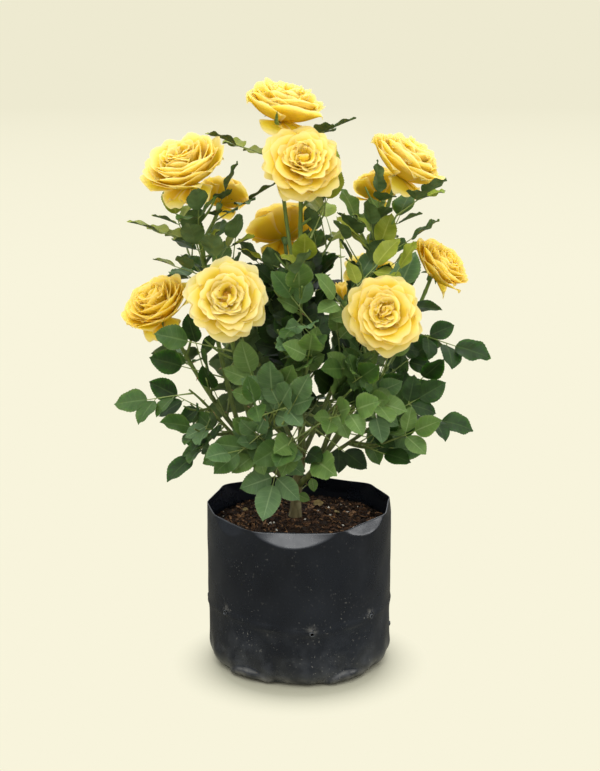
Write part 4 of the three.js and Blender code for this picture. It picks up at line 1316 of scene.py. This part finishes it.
def bloom_piece(bloom, mass, seed):
    """A full bloom, or a closed bud, as one joined mesh of petals."""
    draw = random.Random(seed)
    up = unit(vec(*PETALS_FACE.get(bloom.name, bloom.up)))
    side = square_to(-UP, up)
    other = np.cross(up, side)
    petals = ring_petals(bloom, draw)
    for i in range(bloom.hanging):
        turn = (i - (bloom.hanging - 1) / 2) * 0.85 + draw.uniform(-0.15, 0.15)
        petals.append((HANGING, turn, (0, 0, 0)))
    petals += heart_petals(bloom, draw)
    build, sheet = Build(), Sheet(2 * len(petals))
    for own, turn, (angle, off, high) in petals:
        yaw = draw.gauss(0, 0.12 * (own[-1] - 0.6))
        seat = bloom.seat + around(side, other, angle) * off * bloom.radius + up * high * bloom.radius
        top, low = petal_points(own, turn, bloom.radius, draw, side, other, up, seat, yaw)
        first = build.put(np.vstack([top.reshape(-1, 3), low.reshape(-1, 3)]))
        for faces in PETAL_FACES:
            build.faces(first, faces, 0, PETAL_MAP, sheet.cell(PETAL_MAP))
    piece = build.make(f"bloom_{bloom.name}", [f"petal_{bloom.tone}"], sheet=True)
    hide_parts(f"foliage_{mass.name}")


STAMENS = 6


def stamens_piece(bloom, mass, seed):
    """Thin filaments with brown tips in the middle of an open bloom."""
    draw = random.Random(seed)
    side = any_side(bloom.up)
    other = np.cross(bloom.up, side)
    build = Build()
    boss = bloom.seat + bloom.up * bloom.radius * np.array([0.02, 0.1, 0.2, 0.27])[:, None]
    tube(build, boss, bloom.radius * np.array([0.17, 0.2, 0.16, 0.05]), 12)
    t = np.linspace(0, 1, 5)[:, None]
    for i in range(STAMENS):
        out = around(side, other, i * TURN)
        way = unit(bloom.up + out * (0.08 + 0.3 * math.sqrt(i / STAMENS)))
        length = bloom.radius * draw.uniform(0.54, 0.6)
        root = bloom.seat + bloom.up * 2 + out * 1.5
        path = root + way * length * t + out * 1.2 * np.sin(math.pi * t)
        tube(build, path, 0.22, 4)
        anther = path[-1] + way * np.array([-0.9, -0.3, 0.4, 1.0])[:, None]
        tube(build, anther, [0.2, 0.65, 0.6, 0.15], 5, kind=1)
    piece = build.make(f"stamens_{bloom.name}", ["filament", "anther"])
    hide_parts(f"foliage_{mass.name}")


# Trunk
TRUNK_RINGS, TRUNK_SIDES, FLARE = 70, 40, 1.6
# Stubs of cut canes: the share of the trunk's height, the way round and the size of each
STUBS = [(0.28, -1.4, 2.6), (0.52, 2.4, 2.2), (0.66, -0.6, 2.0)]


def trunk_piece(path):
    """The trunk with its flare, long splits, knots and the flat cut at the compost."""
    path = resample(path, TRUNK_RINGS)
    share = np.linspace(0, 1, TRUNK_RINGS)
    foot, tip = TRUNK["foot_radius"] - FLARE, TRUNK["tip_radius"]
    radii = foot + (tip - foot) * share + FLARE * np.exp(-share * 14)
    relief = np.zeros((TRUNK_RINGS, TRUNK_SIDES))
    for i in range(TRUNK_RINGS):
        for j in range(TRUNK_SIDES):
            a = math.tau * j / TRUNK_SIDES
            p = Vector((3.2 * math.cos(a), 3.2 * math.sin(a), share[i] * 6))
            ridges = 0.55 * noise.noise(p) + 0.3 * noise.noise(p * 2.7)
            relief[i, j] = ridges - 0.3 * abs(noise.noise(p * 1.4))
    build = Build()
    tube(build, path, radii, TRUNK_SIDES, relief=relief)
    for at, angle, size in STUBS:
        point, way = along(path, at)
        out = unit(sideways(way, angle, 1.35))
        stub = point + out * np.array([3.5, 5.6, 6.8, 7.4])[:, None]
        tube(build, stub, np.array([1.25, 1.1, 0.95, 0.6]) * size, 12)
    piece = build.make("bark_trunk", ["bark"])
    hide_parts("trunk")


# Bag
BAG_SIDES = 320
WALL_FROM = 90.0  # the wall is what lies further out than this, and the floor what lies within
LEDGE_OUT = 5.0  # how far a fold along the foot stands out
LIFT_BELOW = 60.0  # how far below the rim its rise and fall begin
# The crease from hole to hole: how far it stands out, how far the wall steps in below it, half its width
CREASE = {"out": 1.4, "step": 0.8, "half": 1.8}


def facet_share(angle, z):
    """How far the facets of the mouth draw the wall in, as a share of its radius."""
    share = np.ones_like(angle)
    for at, half, deep in FACETS:
        off, half = np.abs(wrapped(angle - math.radians(at))), math.radians(half)
        chord = math.cos(half) / np.cos(np.clip(off, 0, 1))
        near_end = np.clip(off / half, 0, 1)
        foot = BAG["height"] - deep * (1 - near_end**2)
        mouth = np.clip((z - foot) / np.maximum(BAG["height"] - foot, 1e-6), 0, 1)
        mouth = np.where(mouth < 0.12, mouth**2 / 0.24, mouth - 0.06) / 0.94
        drawn = 1 + (chord - 1) * FACET_CUT * (1 - near_end**4) * mouth
        share = np.where(off < half, np.minimum(share, drawn), share)
    return share


def bag_radius(r, angle, z):
    """The wall's radius: the source's waves, sharper facets under the rim, creases and bottom pleats."""
    wave = 0.9 * np.sin(3 * angle + 0.6) + 1.4 * np.sin(5 * angle + 1) * np.clip(1 - z / 60, 0, 1)
    off = z - crease_height(angle)
    ridge = CREASE["out"] * np.exp(-((off / CREASE["half"]) ** 2))
    ridge = ridge - CREASE["step"] * smooth(-off / 12) * smooth((z - 8) / 20)
    low = np.clip(1 - z / 34, 0, 1) * np.clip(z / 4, 0, 1)
    pleat = np.abs((angle * 3.5 + 0.5 * np.sin(angle * 2)) % 1 - 0.5) * 2
    dents = -1.9 * low * smooth(pleat) + 0.7 * low * np.sin(angle * 17 + z * 0.1)
    film = 0.35 * np.sin(angle * 9 + z * 0.05) * np.sin(z * 0.06 + 2 * angle)
    film = film + 0.25 * np.sin(angle * 14 - z * 0.11 + 1.3)
    for at, half in LEDGES:
        lens = np.clip(1 - (wrapped(angle - math.radians(at)) / math.radians(half)) ** 2, 0, 1)
        fold = smooth(2 * lens) * smooth((6 + 10 * lens - z) / 9) * smooth((z + 0.5) / 2.5)
        film = film + LEDGE_OUT * fold
    return r * facet_share(angle, z) + wave + ridge + dents + film


def crease_height(angle):
    """The height of the crease that runs from hole to hole round the bag."""
    marks = sorted((wrapped(math.radians(at)), height) for at, height in HOLES if height > 40)
    angles, heights = np.array(marks).T
    angles = np.concatenate([[angles[-1] - math.tau], angles, [angles[0] + math.tau]])
    heights = np.concatenate([[heights[-1]], heights, [heights[0]]])
    return np.interp(wrapped(angle), angles, heights)


def rim_lift(angle, z):
    """How far the rim stands above or below its even height, which dies out down the wall."""
    near = smooth((z - BAG["height"] + LIFT_BELOW) / LIFT_BELOW)
    return near * (-1.6 - 4.2 * np.cos(angle) - 1.1 * np.cos(2 * angle) + 0.9 * np.sin(2 * angle))


def bag_piece():
    """The film as a closed shell: outer wall, rim, inner wall and floor."""
    big, high, wall, hem = BAG["radius"], BAG["height"], BAG["wall"], BAG["hem"]
    turn = np.linspace(0, math.pi / 2, 14)
    foot = [(big - hem + hem * math.sin(t), 18 * (1 - math.cos(t))) for t in turn]
    outer = [(big * 0.3, 0.0), (big * 0.6, 0.0), *foot]
    outer += [(big, z) for z in np.arange(21, high - 24, 3.4)]
    outer += [(big, z) for z in np.linspace(high - 24, high, 22)]
    inner = [(r - wall, max(z, wall)) for r, z in outer[::-1] if z > high - 48]
    inner += [(r - wall, max(z, wall)) for r, z in outer[::-3] if z <= high - 48]
    profile = np.array(outer + inner)
    rows = len(profile)
    angle = np.linspace(0, math.tau, BAG_SIDES, endpoint=False)[None]
    r, z = profile[:, 0:1], profile[:, 1:2] + 0 * angle
    wavy = np.where(r > WALL_FROM, bag_radius(r, angle + 0 * r, z), r + 0 * angle)
    lifted = z + rim_lift(angle, z) * (r > WALL_FROM)
    points = np.stack([wavy * np.sin(angle), -wavy * np.cos(angle), lifted], -1)
    build = Build()
    first = build.put(np.vstack([points.reshape(-1, 3), [0, 0, 0], [0, 0, wall]]))
    below = rows * BAG_SIDES
    build.faces(first, ring_faces(rows, BAG_SIDES))
    build.faces(first, cap_faces(0, BAG_SIDES, below, back=True))
    build.faces(first, cap_faces(below - BAG_SIDES, BAG_SIDES, below + 1))
    piece = build.make("film_bag", ["film"])
    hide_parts("grow_bag")
    cut_holes(piece)


def hole_frame(at, height):
    """The way out through the film at a hole, and the middle of the hole."""
    angle = math.radians(at)
    out = vec(math.sin(angle), -math.cos(angle), 0)
    wall = float(bag_radius(vec(BAG["radius"]), vec(angle), vec(height))[0])
    return out, out * wall + UP * height


def cut_holes(piece):
    """Cuts the drainage holes through the film with a boolean of plain drills."""
    build = Build()
    for at, height in HOLES:
        out, middle = hole_frame(at, height)
        tube(build, np.array([middle - out * 6, middle + out * 6]), HOLE_RADIUS, 20)
    drill = build.make("drills", [])
    cut = piece.modifiers.new("holes", "BOOLEAN")
    cut.operation, cut.object, cut.solver = "DIFFERENCE", drill, "EXACT"
    bpy.context.view_layer.objects.active = piece
    bpy.ops.object.modifier_apply(modifier=cut.name)
    bpy.data.objects.remove(drill)


BURR_SIDES, BURR_ROUND = 28, 8  # points round the hole, and round the lip itself


def burrs_piece():
    """The raised lips that the punch left round the holes."""
    draw = random.Random(5)
    build = Build()
    turn = np.linspace(0, math.tau, BURR_SIDES, endpoint=False)
    lip = np.linspace(0, math.tau, BURR_ROUND, endpoint=False)
    i, j = np.arange(BURR_SIDES)[:, None], np.arange(BURR_ROUND)[None]
    k, m = (i + 1) % BURR_SIDES, (j + 1) % BURR_ROUND
    corners = [i * BURR_ROUND + j, k * BURR_ROUND + j, k * BURR_ROUND + m, i * BURR_ROUND + m]
    faces = np.stack(corners, -1).reshape(-1, 4)
    for at, height in HOLES:
        out, middle = hole_frame(at, height)
        side = np.cross(UP, out)
        phase = draw.uniform(0, ANY_WAY)
        grow = 1 + 0.35 * np.sin(turn + phase) + 0.2 * np.sin(3 * turn + 2 * phase)
        radius = HOLE_RADIUS + 0.5 + 0.55 * grow[:, None] * np.cos(lip)[None]
        raised = 0.1 + 0.8 * grow[:, None] * np.sin(lip)[None]
        spoke = (side * np.cos(turn)[:, None] + UP * np.sin(turn)[:, None])[:, None]
        ring = middle + spoke * radius[..., None] + out * raised[..., None]
        build.faces(build.put(ring.reshape(-1, 3)), faces)
    piece = build.make("film_burrs", ["film_scuffed"])
    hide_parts("grow_bag")


# Compost
SOIL_RADIUS, SOIL_FLOOR, SOIL_SIDES, SOIL_RINGS = 98.6, 3.0, 220, 60
SOIL_WALL = [(98.6, 120.0), (98.4, 60.0), (96, 24.0), (86, 3.0)]
SOIL_SINKS = [(0, 0), (20, 0), (52, 2), (80, 3), (99, 8)]  # how low the top lies at each radius
# How many chips and fibres lie within which radius. Every so many chips, one is a grain of grit.
CHIPS, CHIPS_WITHIN, GRIT_EVERY = 2600, 93.5, 60
FIBRES, FIBRES_WITHIN = 150, 86.0


def soil_height(r, angle):
    """The height of the compost's top before its fine roughness, with low lumps part of the way out."""
    radii, sinks = np.array(SOIL_SINKS).T
    lump = 1.6 * np.sin(4 * angle + r) + 1.1 * np.sin(9 * angle - r)
    return np.interp(r, radii, SOIL_TOP - sinks) + np.where((r > 30) & (r < 90), lump, 0) * 0.6


def soil_at(x, y):
    r, angle = math.hypot(x, y), math.atan2(x, -y)
    rough = 1.5 * noise.noise(Vector((x / 9, y / 9, 0))) + 1.0 * noise.noise(Vector((x / 3.4, y / 3.4, 7)))
    return float(soil_height(np.array(r), np.array(angle))) + rough


def round_place(r, angle):
    return r * math.sin(angle), -r * math.cos(angle)


def compost_piece():
    """The compost: a closed plug whose top is rough."""
    turn = np.linspace(0, math.tau, SOIL_SIDES, endpoint=False)
    rows = [[round_place(SOIL_RADIUS * k / SOIL_RINGS, a) for a in turn] for k in range(1, SOIL_RINGS + 1)]
    points = [(x, y, soil_at(x, y)) for row in rows for x, y in row]
    for r, z in SOIL_WALL:
        points += [(r * x / SOIL_RADIUS, r * y / SOIL_RADIUS, z) for x, y in rows[-1]]
    pole = len(points)
    points += [(0, 0, soil_at(0, 0)), (0, 0, SOIL_FLOOR)]
    build = Build()
    first = build.put(points)
    build.faces(first, ring_faces(pole // SOIL_SIDES, SOIL_SIDES)[:, ::-1])
    build.faces(first, cap_faces(0, SOIL_SIDES, pole))
    build.faces(first, cap_faces(pole - SOIL_SIDES, SOIL_SIDES, pole + 1, back=True))
    piece = build.make("compost_top", ["soil"])
    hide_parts("compost")


CHIP_CORNERS = np.array([(x, y, z) for x in (-1, 1) for y in (-1, 1) for z in (-1, 1)], float)
CHIP_SIDES = np.array([[0, 1, 3, 2], [4, 6, 7, 5], [0, 4, 5, 1], [2, 3, 7, 6], [0, 2, 6, 4], [1, 5, 7, 3]])


def add_chip(build, draw, is_grit):
    """A bark chip, or a grain of white grit, that lies on the compost clear of the trunk."""
    x, y = round_place(CHIPS_WITHIN * math.sqrt(draw.random()), draw.uniform(0, ANY_WAY))
    if math.hypot(x + 5, y) < 8:
        return
    if is_grit:
        long = draw.uniform(0.8, 1.5)
        size = (long, long * draw.uniform(0.7, 1), long * 0.7)
    else:
        long = draw.uniform(1.2, 3.4) * (1.7 if draw.random() < 0.12 else 1)
        size = (long, long * draw.uniform(0.25, 0.6), draw.uniform(0.3, 0.8))
    yaw, tilt, roll = draw.uniform(0, ANY_WAY), draw.gauss(0, 0.35), draw.gauss(0, 0.5)
    forward = vec(math.cos(yaw) * math.cos(tilt), math.sin(yaw) * math.cos(tilt), math.sin(tilt))
    side = square_to(around(unit(np.cross(UP, forward)), UP, roll), forward)
    shaped = CHIP_CORNERS * np.array([[draw.uniform(0.75, 1.15) for _ in range(3)] for _ in range(8)])
    local = shaped * np.array(size) * 0.9
    centre = vec(x, y, soil_at(x, y) + draw.uniform(-0.3, 0.9))
    first = build.put(centre + local @ np.stack([forward, side, np.cross(forward, side)]))
    kind = 3 if is_grit else draw.choices([0, 1, 2], [0.5, 0.36, 0.14])[0]
    build.faces(first, CHIP_SIDES, kind)


def add_fibre(build, draw):
    """A thin curved fibre that arches over the compost."""
    x, y = round_place(FIBRES_WITHIN * math.sqrt(draw.random()), draw.uniform(0, ANY_WAY))
    yaw, long, sway = draw.uniform(0, ANY_WAY), draw.uniform(5, 12), draw.uniform(-2.5, 2.5)
    t = np.linspace(-1, 1, 6)
    px = x + np.cos(yaw) * t * long / 2 - np.sin(yaw) * sway * (1 - t * t)
    py = y + np.sin(yaw) * t * long / 2 + np.cos(yaw) * sway * (1 - t * t)
    lift = draw.uniform(0.6, 2.2)
    path = [(u, v, soil_at(u, v) + 0.3 + lift * (1 - s * s)) for u, v, s in zip(px, py, t)]
    tube(build, np.array(path), draw.uniform(0.18, 0.4), 4, kind=draw.choice([1, 2]))


def chips_piece():
    """Bark chips, fibres and white grit on the compost."""
    draw = random.Random(11)
    build = Build()
    for i in range(CHIPS):
        add_chip(build, draw, i % GRIT_EVERY == 0)
    for _ in range(FIBRES):
        add_fibre(build, draw)
    piece = build.make("compost_chips", ["chip_dark", "chip_brown", "chip_tan", "grit"])
    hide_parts("compost")


# Small leaves low on the trunk: root, the way each points, and length
SPROUTS = [
    ((-6, -12, 201), (-0.1, -0.3, -1), 14.0), ((13, -11, 206), (0.15, -0.3, -1), 15.5),
    ((-3, -13, 187), (1, -0.4, -0.35), 15.0), ((-12, 4, 198), (-0.8, 0.5, 0.2), 12.0),
    ((6, 12, 190), (0.6, 0.8, -0.1), 13.0),
]


def sprout_piece():
    """The small bright leaves that sprout low on the trunk."""
    draw = random.Random(3)
    build, twigs = Build(), Build()
    sheet = Sheet(2 * len(SPROUTS))
    for place, direction, length in SPROUTS:
        root = vec(*place)
        stem = vec(-3, 1, root[2] - 8)
        way = unit(vec(*direction))
        leaflet = Leaflet(root, way, vec(0, math.copysign(0.9, root[1]), 0.3), length)
        add_leaflet(build, sheet, leaflet, 0, 1, draw)
        end = root + way * (LEAFLET_STALK + 0.02) * length
        tube(twigs, np.array([stem, (stem * 0.5 + root * 0.5) + UP * 0.5, end]), [0.8, 0.6, 0.5], 5)
    leaves = build.make("sprout_leaves", ["leaf_fresh", "leaf_under_painted_shade"], sheet=True)
    stalks = twigs.make("sprout_stalks", ["petiole"])


# Dry leaves that lie on the compost: place, the way each points, and length
FALLEN = [((14, 40), 0.35, 13.0), ((-58, 24), 2.4, 8.0), ((44, 18), 4.0, 8.0)]


def fallen_piece():
    draw = random.Random(17)
    build, sheet = Build(), Sheet(2 * len(FALLEN))
    for (x, y), turn, length in FALLEN:
        way = unit(vec(math.cos(turn), math.sin(turn), 0.12))
        leaflet = Leaflet(vec(x, y, soil_at(x, y) + 1.8), way, UP + vec(0, -0.5, 0), length)
        add_leaflet(build, sheet, leaflet, 0, 0, draw)
    piece = build.make("fallen_leaves", ["dry"], sheet=True)


# Stage
CREAM, CREAM_NEAR = "eeead1", "f8f4dc"
FLOOR_SEEN = 0.16  # how bright the floor is in what the film reflects


def floor_look():
    """A pale floor with a painted contact shadow round the bag's foot, which glows further out, brighter near
    the plant as a painted pool of light, and turns into the background's own colour far from the plant.
    """
    look = Look("floor", roughness=0.9, Specular_IOR_Level=0.1)
    from_painted_shadow = look.distance((0, -0.03, 0))
    # Painted shadow: the floor darkens towards the bag's foot, round a middle a little in front of it
    look.paint("Base Color", look.fade(from_painted_shadow, 0.08, 0.14, "9b9885", "c4c0ac"))
    # Painted pool of light: the glow is a brighter cream within 3 metres and darkens to the backdrop's cream
    # by 16
    colour = look.fade(look.distance((0, 0, 0)), 3.0, 16.0, CREAM_NEAR, CREAM)
    shiny = look.node("LightPath").outputs["Is Glossy Ray"]
    glow = look.node("Emission", {"Color": colour, "Strength": look.span(shiny, 0, 1, 1.0, FLOOR_SEEN)})
    look.blend(look.span(from_painted_shadow, 0.088, 0.143), glow)
    return look.material


def build_stage():
    bpy.ops.mesh.primitive_circle_add(vertices=96, radius=30, fill_type="NGON", location=(0, 0, -0.0005))
    floor = bpy.context.object
    floor.name = "floor"
    floor.data.materials.append(floor_look())
    build_world()


# The light of the room: its walls, how dim shiny things see them, its ceiling, and where that begins
ROOM_WALL, ROOM_WALL_SEEN = (0.68, 0.67, 0.63, 1), (0.06, 0.065, 0.072, 1)
ROOM_CEILING, CEILING_AT = (0.95, 0.98, 1.0, 1), 0.75
ROOM_STRENGTH = 1.88


def build_world():
    """A studio with a bright ceiling, pale walls that shiny things see dimly, and a plain backdrop."""
    world = bpy.data.worlds.new("studio")
    bpy.context.scene.world = world
    world.use_nodes = True
    sky = Nodes(world.node_tree)
    backdrop = sky.tree.nodes["Background"]
    backdrop.inputs["Color"].default_value = srgb(CREAM)
    rays = sky.node("LightPath").outputs
    walls = sky.mix(rays["Is Glossy Ray"], ROOM_WALL, ROOM_WALL_SEEN)
    rise = sky.axis(sky.node("TexCoord").outputs["Generated"], "Z")
    colour = sky.mix(sky.span(rise, 0, CEILING_AT), walls, ROOM_CEILING)
    room = sky.node("Background", {"Color": colour, "Strength": ROOM_STRENGTH})
    shown = sky.node("MixShader", {0: rays["Is Camera Ray"], 1: room.outputs[0], 2: backdrop.outputs[0]})
    sky.tree.links.new(shown.outputs[0], sky.tree.nodes["World Output"].inputs["Surface"])


# Lamps: where each hangs, its width, and its power in watts
LAMPS = [
    ("key", (-0.18, -1.14, 1.98), 1.1, 13.0),
    ("fill", (1.9, -0.12, 0.55), 0.7, 6.0),
    ("top", (0.0, 0.1, 2.2), 1.4, 4.6),
    ("back", (0.4, 1.6, 1.4), 1.0, 5.0),
]
AIM = Vector((0, 0, 0.33))


def build_lights():
    for name, place, size, power in LAMPS:
        data = bpy.data.lights.new(name, "AREA")
        data.shape, data.size, data.energy = "DISK", size, power
        lamp = bpy.data.objects.new(name, data)
        lamp.location = place
        lamp.rotation_euler = (AIM - Vector(place)).to_track_quat("-Z", "Y").to_euler()
        bpy.context.scene.collection.objects.link(lamp)


CAMERA = {"place": (0.0, -1.56, 0.66), "down": 12.8, "lens": 69.25, "sensor": 36.0}


def build_camera():
    data = bpy.data.cameras.new("camera")
    data.lens, data.sensor_width = CAMERA["lens"], CAMERA["sensor"]
    camera = bpy.data.objects.new("camera", data)
    camera.location = CAMERA["place"]
    camera.rotation_euler = (math.radians(90 - CAMERA["down"]), 0, 0)
    bpy.context.scene.collection.objects.link(camera)
    bpy.context.scene.camera = camera
    bpy.context.scene.view_settings.view_transform = "Standard"


# The darker and the lighter colour of each plain material, the scale of its mottling and its roughness
PLAIN = {
    "film_scuffed": ("1c1e21", "45484b", 600, 0.45), "dry": ("68552c", "92804c", 200, 0.8),
    "grit": ("b9b3a4", "e6e1d4", 500, 0.9), "petiole": ("5f6f33", "84934c", 160, 0.5),
    "thorn": ("7a5a35", "9d8452", 300, 0.5), "sepal": ("4a6a34", "76924f", 200, 0.55),
    "filament": ("d9a21f", "e7bd48", 400, 0.6), "anther": ("a8681f", "d0913a", 500, 0.7),
    # The undersides are darker greens than a rose leaf's own, as painted shade
    "leaf_under_painted_shade": ("3c5226", "546b3a", 90, 0.6),
}
# The same two colours of what lies on the compost, and of the compost
EARTHY = {
    "soil": ("18110b", "33241a"), "chip_dark": ("1d140d", "35261b"),
    "chip_brown": ("382619", "553c2a"), "chip_tan": ("664830", "8f6c4a"),
}
# Petals: the colour at the root, in the middle and at the rim
PETAL_TONES = {
    "pale": ("f9e33c", "fbed60", "fff7ca"), "warm": ("fbe236", "fcec58", "fff5ba"),
    "deep": ("fbe02c", "fcea48", "fff2a0"),
}


def build_materials():
    made = {"film": film_look(), "bark": bark_look(), "cane": cane_look()}
    made |= {name: plain_look(name, *look) for name, look in PLAIN.items()}
    made |= {name: soil_look(name, *look) for name, look in EARTHY.items()}
    made |= {f"leaf_{name}": leaf_look(f"leaf_{name}", *tints) for name, tints in LEAF_TINTS.items()}
    made |= {f"petal_{name}": petal_look(f"petal_{name}", *tones) for name, tones in PETAL_TONES.items()}
    return made


build_camera()
build_stage()
build_lights()
MATERIALS = build_materials()
space = grow()
bag_piece()
burrs_piece()
compost_piece()
chips_piece()
trunk_piece(space.limbs["trunk"][0])
for number, mass in enumerate(space.masses):
    draw = random.Random(100 + number)
    cane_piece(mass, *space.limbs[mass.name], draw)
    twigs_piece(mass, draw)
    leaves_piece(mass, draw)
    for k, bloom in enumerate(mass.blooms):
        bloom_piece(bloom, mass, 300 + 10 * number + k)
        if bloom.open > 0.8:
            stamens_piece(bloom, mass, 600 + 10 * number + k)
sprout_piece()
fallen_piece()
